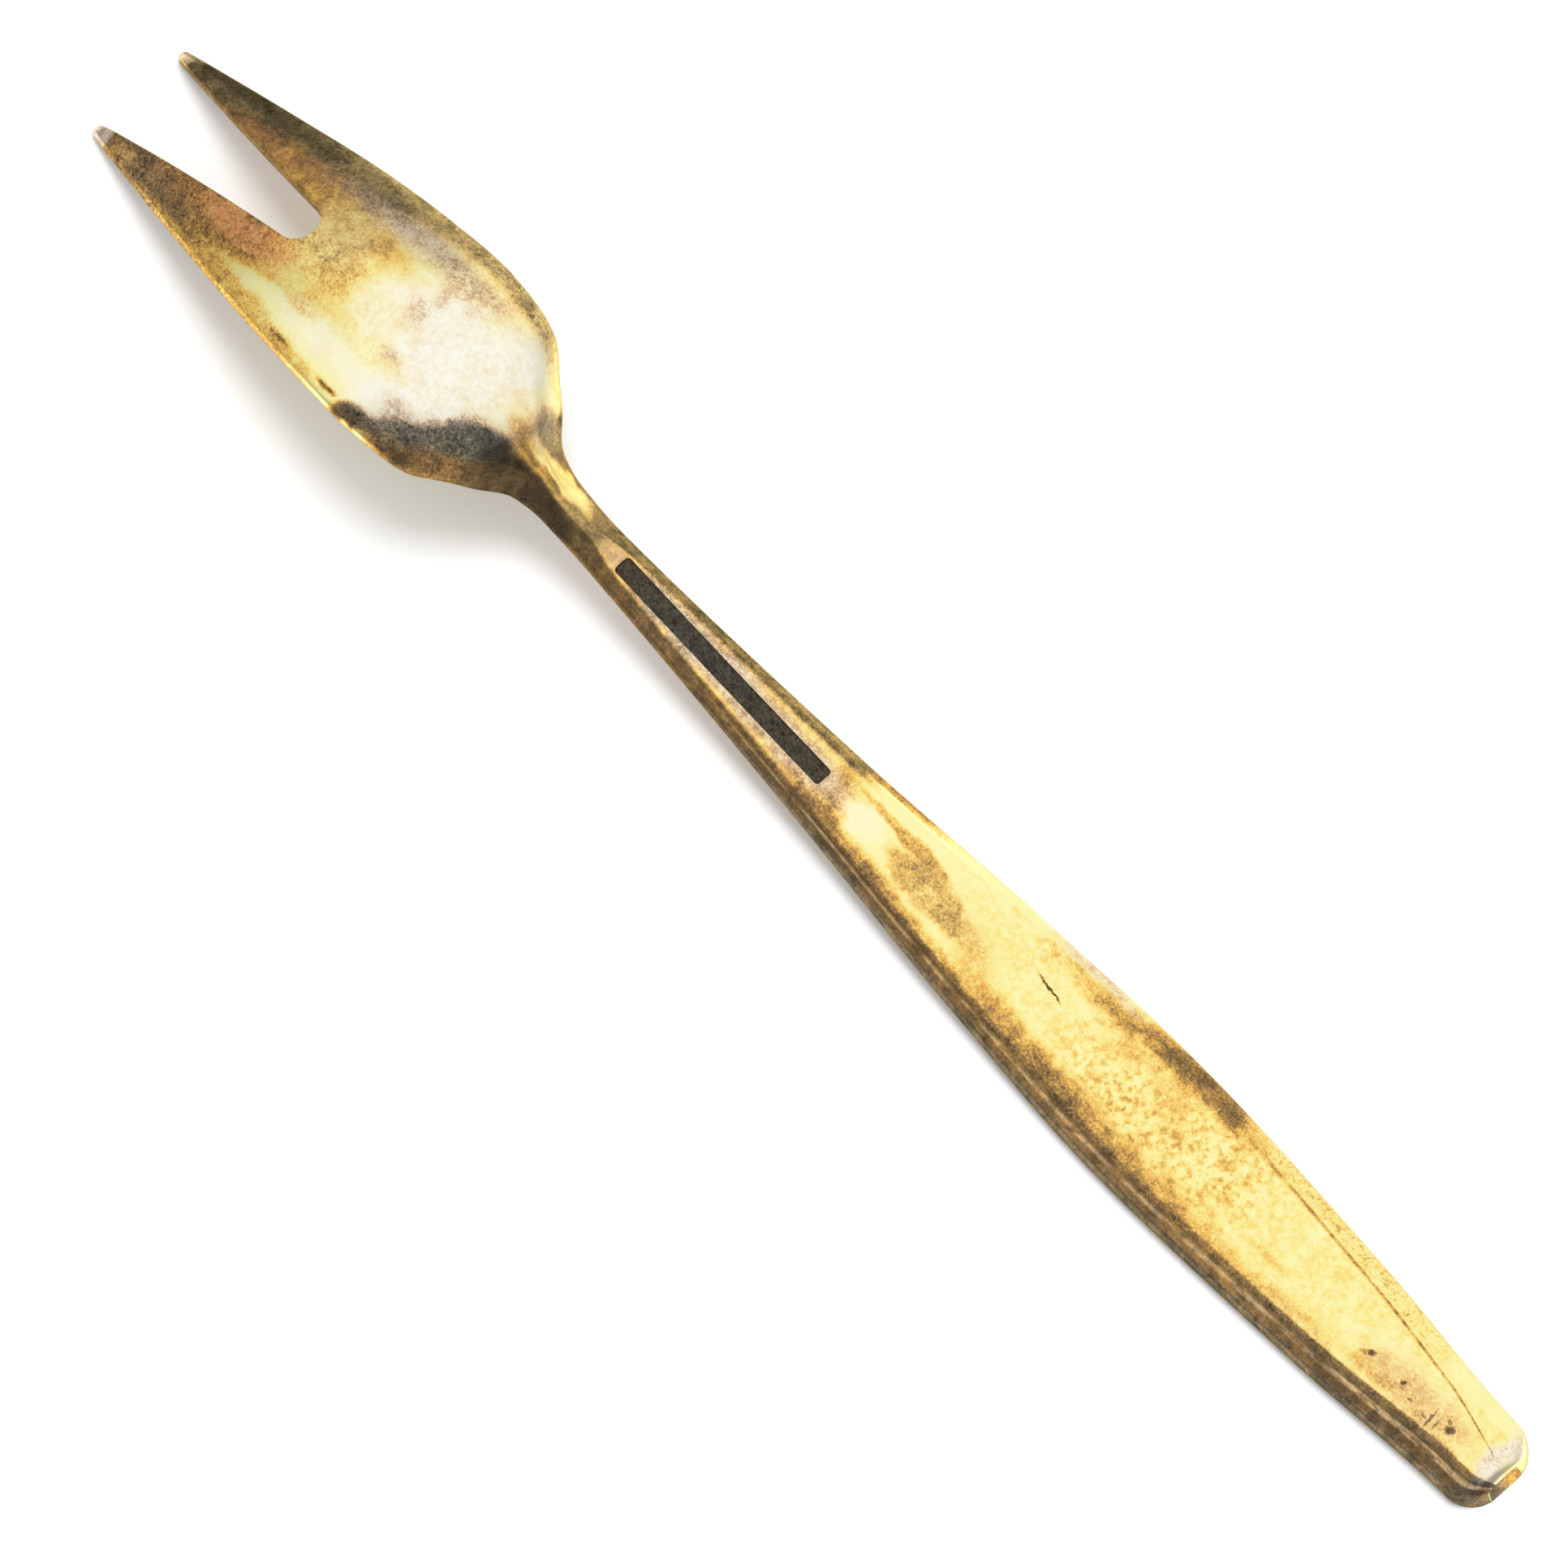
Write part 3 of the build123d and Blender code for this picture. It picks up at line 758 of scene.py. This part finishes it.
# Blackened specks and scratches
MARKS = [
    Stain(84.0, 1.02, 1.35, 0.1, 0.9, turn=-8),
    Stain(120.75, -0.75, 0.15, 1.1, 0.75, turn=4, soft=0.8),
    Stain(121.25, -0.8, 0.12, 0.6, 0.55, turn=4, soft=0.8),
    Stain(120.3, -0.95, 0.55, 0.14, 0.7, turn=-20, soft=0.8),
    Stain(122.15, -0.38, 0.5, 0.4, 0.8, turn=30),
    Stain(121.8, -0.05, 0.24, 0.2, 0.65),
    Stain(115.15, -0.5, 0.36, 0.32, 0.75),
    Stain(114.7, -0.85, 0.34, 0.2, 0.65),
    Stain(117.9, -0.42, 0.24, 0.26, 0.8),
    Stain(119.0, -0.85, 0.32, 0.22, 0.6),
    Stain(122.1, -1.6, 0.55, 0.14, 0.8, turn=8),
]


def stained_places(mesh):
    """Where each point of the skin lies among the stains: uneven edges, and a run of its own underneath."""
    around = [value.value for value in mesh.attributes["around"].data]
    places = []
    noise.seed_set(STAIN_SEED)
    for vert, turn in zip(mesh.vertices, around):
        spot = vert.co / MM + Vector((STAINS_FROM, 0.0, 0.0))
        underneath = 2.8 < turn < 4.5
        if underneath:
            spot = Vector((spot.x + 1.5, -0.95 * spot.y, spot.z + 7.0))
        wander = noise.noise_vector(spot * 0.6)
        quiver = noise.noise_vector(spot * 1.7)
        along = spot.x + 0.7 * wander.x + 0.3 * quiver.x
        across = spot.y + 0.35 * wander.y + 0.16 * quiver.y
        places.append((along, across))
    return numpy.array(places)


def paint(mesh, name, places, level, stains):
    """Keeps a level on the skin's points, with stains laid over it one after another."""
    levels = numpy.full(len(places), level)
    for stain in stains:
        levels += (stain.level - levels) * stain.fade(places)
    mesh.attributes.new(name, "FLOAT", "POINT").data.foreach_set("value", levels.astype("float32"))


class NodeSteps:
    """A node tree put together from small steps, each of which gives the socket of its result."""

    def __init__(self, tree):
        self.nodes = tree.nodes
        self.links = tree.links

    def feed(self, socket, value):
        """Links a result to a socket, or sets a plain value on it."""
        if isinstance(value, bpy.types.NodeSocket):
            self.links.new(value, socket)
        else:
            socket.default_value = value

    def step(self, kind, *values):
        """A new node with its first inputs fed."""
        node = self.nodes.new(kind)
        for socket, value in zip(node.inputs, values):
            self.feed(socket, value)
        return node

    def math(self, operation, *values):
        node = self.step("ShaderNodeMath", *values)
        node.operation = operation
        return node.outputs[0]

    def vector(self, operation, *values, result="Vector"):
        node = self.step("ShaderNodeVectorMath", *values)
        node.operation = operation
        return node.outputs[result]

    def times(self, *factors):
        """The product of some results or numbers."""
        total = factors[0]
        for factor in factors[1:]:
            total = self.math("MULTIPLY", total, factor)
        return total

    def plus(self, base, value, factor):
        """A result with a share of another added."""
        return self.math("MULTIPLY_ADD", value, factor, base)

    def most(self, first, second):
        """The greater of two results."""
        return self.math("MAXIMUM", first, second)

    def centred(self, value):
        """A noise that swings about 0."""
        return self.math("SUBTRACT", value, 0.5)

    def ramp(self, value, low, high, top=1.0):
        """A smooth step from 0 where the value is low to the top where it is high."""
        node = self.step("ShaderNodeMapRange", value, low, high, 0.0, top)
        node.interpolation_type = "SMOOTHSTEP"
        return node.outputs["Result"]

    def band(self, value, low, high, fade):
        """1 between two values, fading out beyond them."""
        return self.times(self.ramp(value, low - fade, low), self.ramp(value, high + fade, high))

    def noise(self, place, grains_per_mm, detail, twist=0.0, result="Fac"):
        """Cloudy noise, from 0 to 1 and mostly near a half."""
        node = self.step("ShaderNodeTexNoise", place)
        node.inputs["Scale"].default_value = grains_per_mm
        node.inputs["Detail"].default_value = detail
        node.inputs["Distortion"].default_value = twist
        return node.outputs[result]

    def kept(self, name):
        """A level that the skin's points keep."""
        node = self.nodes.new("ShaderNodeAttribute")
        node.attribute_name = name
        return node.outputs["Fac"]

    def lay(self, part, first, second):
        """One number laid over another."""
        node = self.nodes.new("ShaderNodeMix")
        for place, value in ((0, part), (2, first), (3, second)):
            self.feed(node.inputs[place], value)
        return node.outputs[0]

    def mix(self, part, first, second):
        """One colour laid over another."""
        node = self.nodes.new("ShaderNodeMix")
        node.data_type = "RGBA"
        for place, value in ((0, part), (6, first), (7, second)):
            self.feed(node.inputs[place], value)
        return node.outputs[2]

    def colours(self, value, stops):
        """A run of colours over a value."""
        node = self.step("ShaderNodeValToRGB", value)
        elements = node.color_ramp.elements
        while len(elements) < len(stops):
            elements.new(0.5)
        for element, (position, shade) in zip(elements, stops):
            element.position = position
            element.color = (*shade, 1.0)
        return node.outputs["Color"]


class GiltSilver(NodeSteps):
    """Gilding that is rubbed through in places and tarnished in others, from bright gold to black, with
    painted shade on the left slopes and the end face and a painted highlight on the end's edge.
    """

    def __init__(self, tints):
        self.material = bpy.data.materials.new("gilt_silver")
        self.material.use_nodes = True
        super().__init__(self.material.node_tree)
        self.shader = self.nodes["Principled BSDF"]
        self.find_places()
        self.make_grains()
        self.tarnish = self.kept("tarnish")
        self.bare = self.kept("bare")
        self.green = self.kept("olive")
        self.stain_edges()
        self.stain_left_bevel()
        self.stain_right_bevel()
        self.stain_end_and_slot()
        self.mark_back()
        self.break_up()
        self.mottle()
        self.speckle_all()
        self.colour(tints)
        self.polish()

    def find_places(self):
        """Where a point lies: along and across the fork in millimetres, and round its section."""
        coordinates = self.step("ShaderNodeTexCoord").outputs["Object"]
        millimetres = (1 / MM, 1 / MM, 1 / MM)
        self.spot = self.vector("MULTIPLY_ADD", coordinates, millimetres, (STAINS_FROM, 0.0, 0.0))
        parts = self.step("ShaderNodeSeparateXYZ", self.spot)
        self.along = parts.outputs["X"]
        self.across = parts.outputs["Y"]
        self.around = self.kept("around")
        self.above = self.outside(3.3, 2.9)
        self.right = self.times(self.ramp(self.across, -0.1, 0.1), self.above)
        self.left = self.times(self.ramp(self.across, 0.1, -0.1), self.above)

    def past(self, low, high):
        """Sets in along the fork between two distances, the other way where the first is the greater."""
        return self.ramp(self.along, low, high)

    def stretch(self, low, high, fade):
        """A stretch along the fork."""
        return self.band(self.along, low, high, fade)

    def outside(self, low, high):
        """Sets in round the section between two places, the other way where the first is the greater."""
        return self.ramp(self.around, low, high)

    def strip(self, low, high, fade):
        """A strip round the section."""
        return self.band(self.around, low, high, fade)

    def film(self, place, level, cover=1.0):
        """Lays tarnish of some thickness over a place; some callers lay it as painted shade."""
        self.tarnish = self.lay(self.times(place, cover), self.tarnish, level)

    def rub(self, place, level, cover=1.0):
        """Sets how bare the silver is at a place."""
        self.bare = self.lay(self.times(place, cover), self.bare, level)

    def make_grains(self):
        """Noises from fine speckle and short worms to wide clouds, and smears along the fork."""
        self.speckle = self.noise(self.spot, 6.0, 2.0)
        self.worms = self.noise(self.spot, 3.2, 2.0, twist=1.2)
        self.granules = self.noise(self.spot, 2.2, 4.0, twist=0.3)
        self.blotches = self.noise(self.spot, 0.9, 3.0, twist=0.8)
        self.clouds = self.noise(self.spot, 0.45, 4.0)
        self.smears = self.noise(self.vector("MULTIPLY", self.spot, (0.25, 1.0, 1.0)), 1.8, 3.0)

    def stain_edges(self):
        """Films along the edges of the tines and the bowl and on the stem's shoulders."""
        rim = self.times(self.outside(1.5, 1.8), self.right, self.past(36.0, 30.0))
        self.film(rim, 0.62, cover=0.85)
        self.green = self.most(self.green, rim)
        lip = self.times(self.outside(1.72, 1.95), self.left, self.stretch(6.0, 22.0, 3.0))
        self.film(lip, 0.42, cover=0.7)
        edge = self.times(self.outside(1.2, 1.6), self.right, self.past(19.0, 6.0), self.past(0.7, 1.5))
        self.film(edge, 0.9)
        self.rub(edge, 0.1)
        self.shoulder = self.times(self.outside(0.74, 0.96), self.stretch(44.0, 64.0, 4.0), self.above)
        self.film(self.shoulder, self.lay(self.right, 0.74, 0.7))
        self.rub(self.shoulder, 0.0, cover=0.9)
        self.green = self.most(self.green, self.times(self.shoulder, self.right, 0.8))

    def stain_left_bevel(self):
        """The handle's left bevel, from the dark crease over a rubbed line to the dark wall. The bevel's
        thick film is partly tarnish and partly painted shade on the side away from the light, and the dark
        wall is painted shade.
        """
        handle = self.past(52.0, 66.0)
        self.bevel = self.times(self.outside(0.98, 1.1), self.left, self.past(42.0, 48.0))
        # Painted shade with tarnish: the film on the left bevel is thicker than on the right because that
        # side lies away from the light
        dull = self.lay(self.past(66.0, 84.0), 0.77, 0.69)
        self.film(self.bevel, self.lay(self.past(106.0, 116.0), dull, 0.82))
        smeared = self.ramp(self.smears, 0.1, 0.35)
        crease = self.times(self.strip(0.97, 1.14, 0.1), self.left, smeared, self.past(45.0, 52.0))
        self.film(crease, 0.76, cover=0.9)
        smeared = self.ramp(self.smears, 0.3, 0.55)
        line = self.times(self.strip(1.38, 1.52, 0.12), self.left, handle, smeared)
        self.film(line, 0.46, cover=0.85)
        self.rub(line, 0.6, cover=0.8)
        # Painted shade: the left wall is darkened and greyed where it faces the shadow
        wall = self.times(self.strip(2.05, 3.0, 0.25), self.left, handle)
        self.film(wall, 0.74)
        self.rub(wall, 0.5)

    def stain_right_bevel(self):
        """The right bevel: a dull outer edge beside the stem, amber towards the end, and the crease."""
        hem = self.times(self.outside(1.3, 1.6), self.right, self.stretch(60.0, 68.0, 7.0))
        self.film(hem, 0.6, cover=0.9)
        amber = self.times(self.outside(1.02, 1.15), self.right, self.stretch(102.0, 117.0, 4.0))
        self.film(amber, 0.15)
        # The crease runs round the panel's end
        closing = self.times(self.past(119.5, 126.5), 0.99)
        tongue = self.math("DIVIDE", self.around, self.math("SQRT", self.math("SUBTRACT", 1.0, closing)))
        smeared = self.ramp(self.smears, 0.2, 0.5)
        crease = self.times(self.band(tongue, 0.97, 1.03, 0.06), self.right, self.past(97.0, 105.0), smeared)
        self.film(crease, 0.52, cover=0.9)
        dotted = self.ramp(self.worms, 0.52, 0.63)
        flecks = self.times(self.outside(1.1, 1.4), self.right, self.stretch(103.0, 115.0, 5.0), dotted)
        self.film(flecks, 0.36, cover=0.8)

    def stain_end_and_slot(self):
        """The end face, with painted shade on its left half, and the slot's walls."""
        face = self.outside(SLOT_WALL + 0.5, END_FACE)
        # Painted shade: the end face's left half gets a thick dark film and grey silver where it mirrors the
        # shadowed floor
        shaded_half = self.ramp(self.across, 0.6, -0.8)
        self.film(face, self.lay(shaded_half, 0.42, 0.8))
        self.rub(face, self.times(shaded_half, 0.6))
        slot = self.strip(SLOT_WALL - 0.1, SLOT_WALL + 0.1, 0.2)
        self.film(slot, 0.6)
        self.rub(slot, 0.4)

    def mark_back(self):
        """Blackened specks and scratches with ragged edges, on the back alone."""
        quiver = self.vector("SUBTRACT", self.noise(self.spot, 3.0, 2.0, result="Color"), (0.5, 0.5, 0.5))
        bent = self.vector("MULTIPLY_ADD", quiver, (0.35, 0.35, 0.0), self.spot)
        endless = 1e6
        level = 0.0
        for mark in MARKS:
            turn = (0.0, 0.0, math.radians(mark.turn))
            reach = (mark.long, mark.wide, endless)
            oval = self.step("ShaderNodeMapping", bent, (mark.at, mark.y, 0.0), turn, reach)
            oval.vector_type = "TEXTURE"
            distance = self.vector("LENGTH", oval.outputs[0], result="Value")
            fade = self.ramp(distance, 1.0 + mark.soft / 2, 1.0 - mark.soft, mark.cover)
            level = self.lay(fade, level, mark.level)
        self.tarnish = self.most(self.tarnish, self.times(level, self.outside(1.9, 1.8)))

    def break_up(self):
        """Grain breaks the film up, most where it is half thick."""
        grain = self.centred(self.plus(self.times(self.speckle, 0.34), self.worms, 0.66))
        depth = self.times(self.tarnish, self.math("SUBTRACT", 1.05, self.tarnish))
        smooth = self.most(self.bevel, self.times(self.shoulder, self.lay(self.right, 0.7, 0.2)))
        smooth = self.most(smooth, self.stretch(36.0, 45.0, 3.0))
        strength = self.lay(self.past(27.0, 20.0), 3.7, self.lay(self.right, 4.8, 2.8))
        strength = self.lay(self.bare, strength, 4.0)
        strength = self.lay(smooth, strength, 1.6)
        uneven = self.plus(self.times(self.centred(self.blotches), 2.0), grain, strength)
        self.tarnish = self.plus(self.tarnish, uneven, depth)

    def mottle(self):
        """Amber granules on the bowl and the handle, thickest across the handle's belly."""
        belly = self.times(self.ramp(self.across, 1.4, 3.4), self.stretch(84.0, 92.0, 4.0))
        belly = self.most(belly, self.stretch(91.0, 100.0, 6.0))
        granules = self.plus(self.times(self.worms, 0.35), self.granules, 0.8)
        granules = self.plus(granules, self.blotches, 0.4)
        mottled = self.most(self.past(70.0, 80.0), self.stretch(22.0, 33.0, 3.0))
        inside = self.lay(self.right, self.outside(1.1, 0.95), self.outside(1.5, 1.3))
        amount = self.times(self.ramp(granules, 0.62, 1.0), inside, mottled, self.lay(belly, 0.2, 0.48))
        self.tarnish = self.most(self.tarnish, self.plus(amount, self.speckle, 0.03))

    def speckle_all(self):
        """Clouds and speckle over the whole film, the recess's dark floor, and grain in the rubbed places."""
        self.tarnish = self.plus(self.tarnish, self.centred(self.clouds), 0.16)
        self.tarnish = self.plus(self.tarnish, self.centred(self.speckle), self.lay(self.bare, 0.14, 0.22))
        self.film(self.outside(-0.6, -3.5), self.plus(0.93, self.centred(self.worms), 0.35))
        self.bare = self.plus(self.bare, self.centred(self.worms), 0.25)

    def colour(self, tints):
        """Colours of the film on gilding, olive and plain, on silver and where it is coppery."""
        gold = self.colours(self.tarnish, [
            (0.0, tints.gold_bright), (0.18, tints.gold_warm), (0.38, tints.gold_amber),
            (0.58, tints.gold_brown), (0.78, tints.gold_umber), (1.0, tints.oxide),
        ])
        silver = self.colours(self.tarnish, [
            (0.0, tints.silver_bright), (0.22, tints.silver_warm), (0.42, tints.silver_rosy),
            (0.62, tints.silver_grey), (0.8, tints.silver_slate), (1.0, tints.oxide),
        ])
        olive = self.colours(self.tarnish, [
            (0.0, tints.olive_bright), (0.18, tints.olive_warm), (0.38, tints.olive_gold),
            (0.58, tints.olive_brown), (0.78, tints.olive_dark), (1.0, tints.oxide),
        ])
        copper = self.colours(self.tarnish, [
            (0.1, tints.copper_bright), (0.42, tints.copper), (0.68, tints.copper_brown), (1.0, tints.oxide),
        ])
        surface = self.mix(self.bare, self.mix(self.green, gold, olive), silver)
        surface = self.mix(self.kept("blush"), surface, copper)
        self.feed(self.shader.inputs["Base Color"], surface)
        self.feed(self.shader.inputs["Metallic"], 1.0)
        self.feed(self.shader.inputs["Specular Tint"], (*tints.glancing, 1.0))

    def polish(self):
        """Shiny where it is bright, duller where it is tarnished, with hairlines and the film's relief."""
        rough = self.plus(self.plus(0.16, self.smears, 0.16), self.tarnish, 0.2)
        self.feed(self.shader.inputs["Roughness"], rough)
        hairlines = self.noise(self.vector("MULTIPLY", self.spot, (0.35, 5.0, 5.0)), 2.0, 2.0)
        bump = self.nodes.new("ShaderNodeBump")
        self.feed(bump.inputs["Strength"], 0.25)
        self.feed(bump.inputs["Distance"], 0.02 * MM)
        self.feed(bump.inputs["Height"], self.plus(self.times(self.worms, 0.4), hairlines, 0.6))
        self.feed(self.shader.inputs["Normal"], bump.outputs["Normal"])


def put(scene, name, data):
    """A new object in the scene."""
    thing = bpy.data.objects.new(name, data)
    scene.collection.objects.link(thing)
    return thing


class FORK_OT_body(Operator):
    """Builds the fork's skin over the solid and gives it its finish"""

    bl_idname = "fork.body"
    bl_label = "Build Fork"

    def execute(self, context):
        shape = ForkShape(context.scene.fork_sizes)
        mesh = build_fork_mesh(shape)
        places = stained_places(mesh)
        paint(mesh, "tarnish", places, 0.03, TARNISH_AND_SHADE)
        paint(mesh, "bare", places, 0.0, BARE_AND_HIGHLIGHT)
        paint(mesh, "blush", places, 0.0, COPPER)
        paint(mesh, "olive", places, 0.0, OLIVE)
        mesh.materials.append(GiltSilver(context.scene.fork_colours).material)
        piece = put(context.scene, "fork_skin", mesh)
        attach(piece, "root")
        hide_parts("fork")
        return {"FINISHED"}


def add_key_lamp(scene, strength):
    """A round softbox that lights the floor and casts the shadow; the metal reflects the room instead."""
    place = Vector((-0.2, 0.27, 1.0))
    radius = 0.26
    lamp = bpy.data.lights.new("key_lamp", "AREA")
    lamp.shape = "DISK"
    lamp.size = 2 * radius
    # The power that lights the floor to this share of white from there
    lamp.energy = strength * math.pi**2 * place.length_squared
    holder = put(scene, "key_lamp", lamp)
    holder.location = place
    holder.rotation_euler = (-place).to_track_quat("-Z", "Y").to_euler()
    holder.visible_camera = False
    holder.visible_glossy = False


def add_room(scene, settings):
    """A dim room with soft-edged light panels: a wide one overhead, and smaller ones round about."""
    # Where each panel is, how many degrees it reaches in full and fading, and its brightness
    panels = [
        ((-0.1, 0.2, 0.97), 40, 68, settings.ceiling_light),
        ((-0.1, 0.92, 0.38), 16, 34, settings.right_light),
        ((-0.45, -0.62, 0.64), 17, 32, settings.left_light),
        ((0.53, 0.65, 0.54), 17, 35, settings.end_light),
        ((0.68, -0.7, 0.24), 6, 24, settings.low_light),
    ]
    world = bpy.data.worlds.new("room")
    world.use_nodes = True
    steps = NodeSteps(world.node_tree)
    direction = steps.step("ShaderNodeTexCoord").outputs["Generated"]
    total = 0.0
    for towards, full, faded, brightness in panels:
        nearness = steps.vector("DOT_PRODUCT", direction, Vector(towards).normalized(), result="Value")
        edge, core = math.cos(math.radians(faded)), math.cos(math.radians(full))
        total = steps.most(steps.ramp(nearness, edge, core, brightness - settings.room_light), total)
    background = steps.nodes["Background"]
    steps.feed(background.inputs["Color"], (1.0, 1.0, 1.0, 1.0))
    steps.feed(background.inputs["Strength"], steps.math("ADD", total, settings.room_light))
    scene.world = world


def add_camera(scene):
    """The photograph's view: a long lens from above, a little to the handle's and the left side."""
    azimuth = math.radians(46.949)
    elevation = math.radians(72.324)
    distance = 1.0849
    pixels_per_metre = 19410.0
    flat = math.cos(elevation)
    back = Vector((math.sin(azimuth) * flat, -math.cos(azimuth) * flat, math.sin(elevation)))
    right = Vector((math.cos(azimuth), math.sin(azimuth), 0.0))
    up = back.cross(right)
    # The place in the middle of the picture
    aim = Vector((0.000325, 0.0, 0.004)) - 0.002115 * right - 0.001139 * up
    data = bpy.data.cameras.new("camera")
    data.sensor_width = 36.0
    data.lens = data.sensor_width * pixels_per_metre * distance / PHOTO_SIDE
    data.clip_start = 0.05
    data.clip_end = 20.0
    camera = put(scene, "camera", data)
    axes = Matrix((right, up, back)).transposed()
    camera.matrix_world = Matrix.Translation(aim + back * distance) @ axes.to_4x4()
    scene.camera = camera


def floor_finish(settings):
    """A matte pale floor with a faint glow that lifts it to white round the fork's shadow."""
    material = bpy.data.materials.new("plain_floor")
    material.use_nodes = True
    inputs = material.node_tree.nodes["Principled BSDF"].inputs
    inputs["Base Color"].default_value = (*settings.floor_colour, 1.0)
    inputs["Roughness"].default_value = 0.9
    inputs["Specular IOR Level"].default_value = 0.1
    inputs["Emission Color"].default_value = (1.0, 1.0, 1.0, 1.0)
    inputs["Emission Strength"].default_value = 0.02
    return material


class FORK_OT_stage(Operator):
    """Lays the floor, hangs the lamps and sets the camera"""

    bl_idname = "fork.stage"
    bl_label = "Set Stage"

    # The floor's half width, and how far it lies below the fork so that the two don't share a face
    floor_reach = 3.0
    floor_drop = 0.05 * MM

    def execute(self, context):
        scene = context.scene
        settings = scene.fork_stage
        floor_maker = bmesh.new()
        bmesh.ops.create_grid(floor_maker, x_segments=1, y_segments=1, size=self.floor_reach)
        bmesh.ops.translate(floor_maker, verts=floor_maker.verts[:], vec=(0.0, 0.0, -self.floor_drop))
        mesh = bpy.data.meshes.new("floor")
        floor_maker.to_mesh(mesh)
        floor_maker.free()
        mesh.materials.append(floor_finish(settings))
        floor = put(scene, "floor", mesh)
        add_key_lamp(scene, settings.key_light)
        add_room(scene, settings)
        scene.view_settings.view_transform = "Standard"
        add_camera(scene)
        return {"FINISHED"}


class FORK_PT_panel(Panel):
    """Lists the fork's sizes, its colours and the steps that build it"""

    bl_idname = "FORK_PT_panel"
    bl_label = "Oyster Fork"
    bl_space_type = "VIEW_3D"
    bl_region_type = "UI"
    bl_category = "Fork"

    def draw(self, context):
        layout = self.layout
        for group in (context.scene.fork_sizes, context.scene.fork_colours, context.scene.fork_stage):
            box = layout.box()
            for name in group.__annotations__:
                box.prop(group, name)
        layout.operator(FORK_OT_body.bl_idname)
        layout.operator(FORK_OT_stage.bl_idname)


CLASSES = (ForkSizes, ForkColours, StageSettings, FORK_OT_body, FORK_OT_stage, FORK_PT_panel)


def register():
    for cls in CLASSES:
        bpy.utils.register_class(cls)
    bpy.types.Scene.fork_sizes = PointerProperty(type=ForkSizes)
    bpy.types.Scene.fork_colours = PointerProperty(type=ForkColours)
    bpy.types.Scene.fork_stage = PointerProperty(type=StageSettings)


def unregister():
    del bpy.types.Scene.fork_stage
    del bpy.types.Scene.fork_colours
    del bpy.types.Scene.fork_sizes
    for cls in reversed(CLASSES):
        bpy.utils.unregister_class(cls)


def main():
    register()
    bpy.ops.fork.body()
    bpy.ops.fork.stage()


if __name__ == "__main__":
    main()
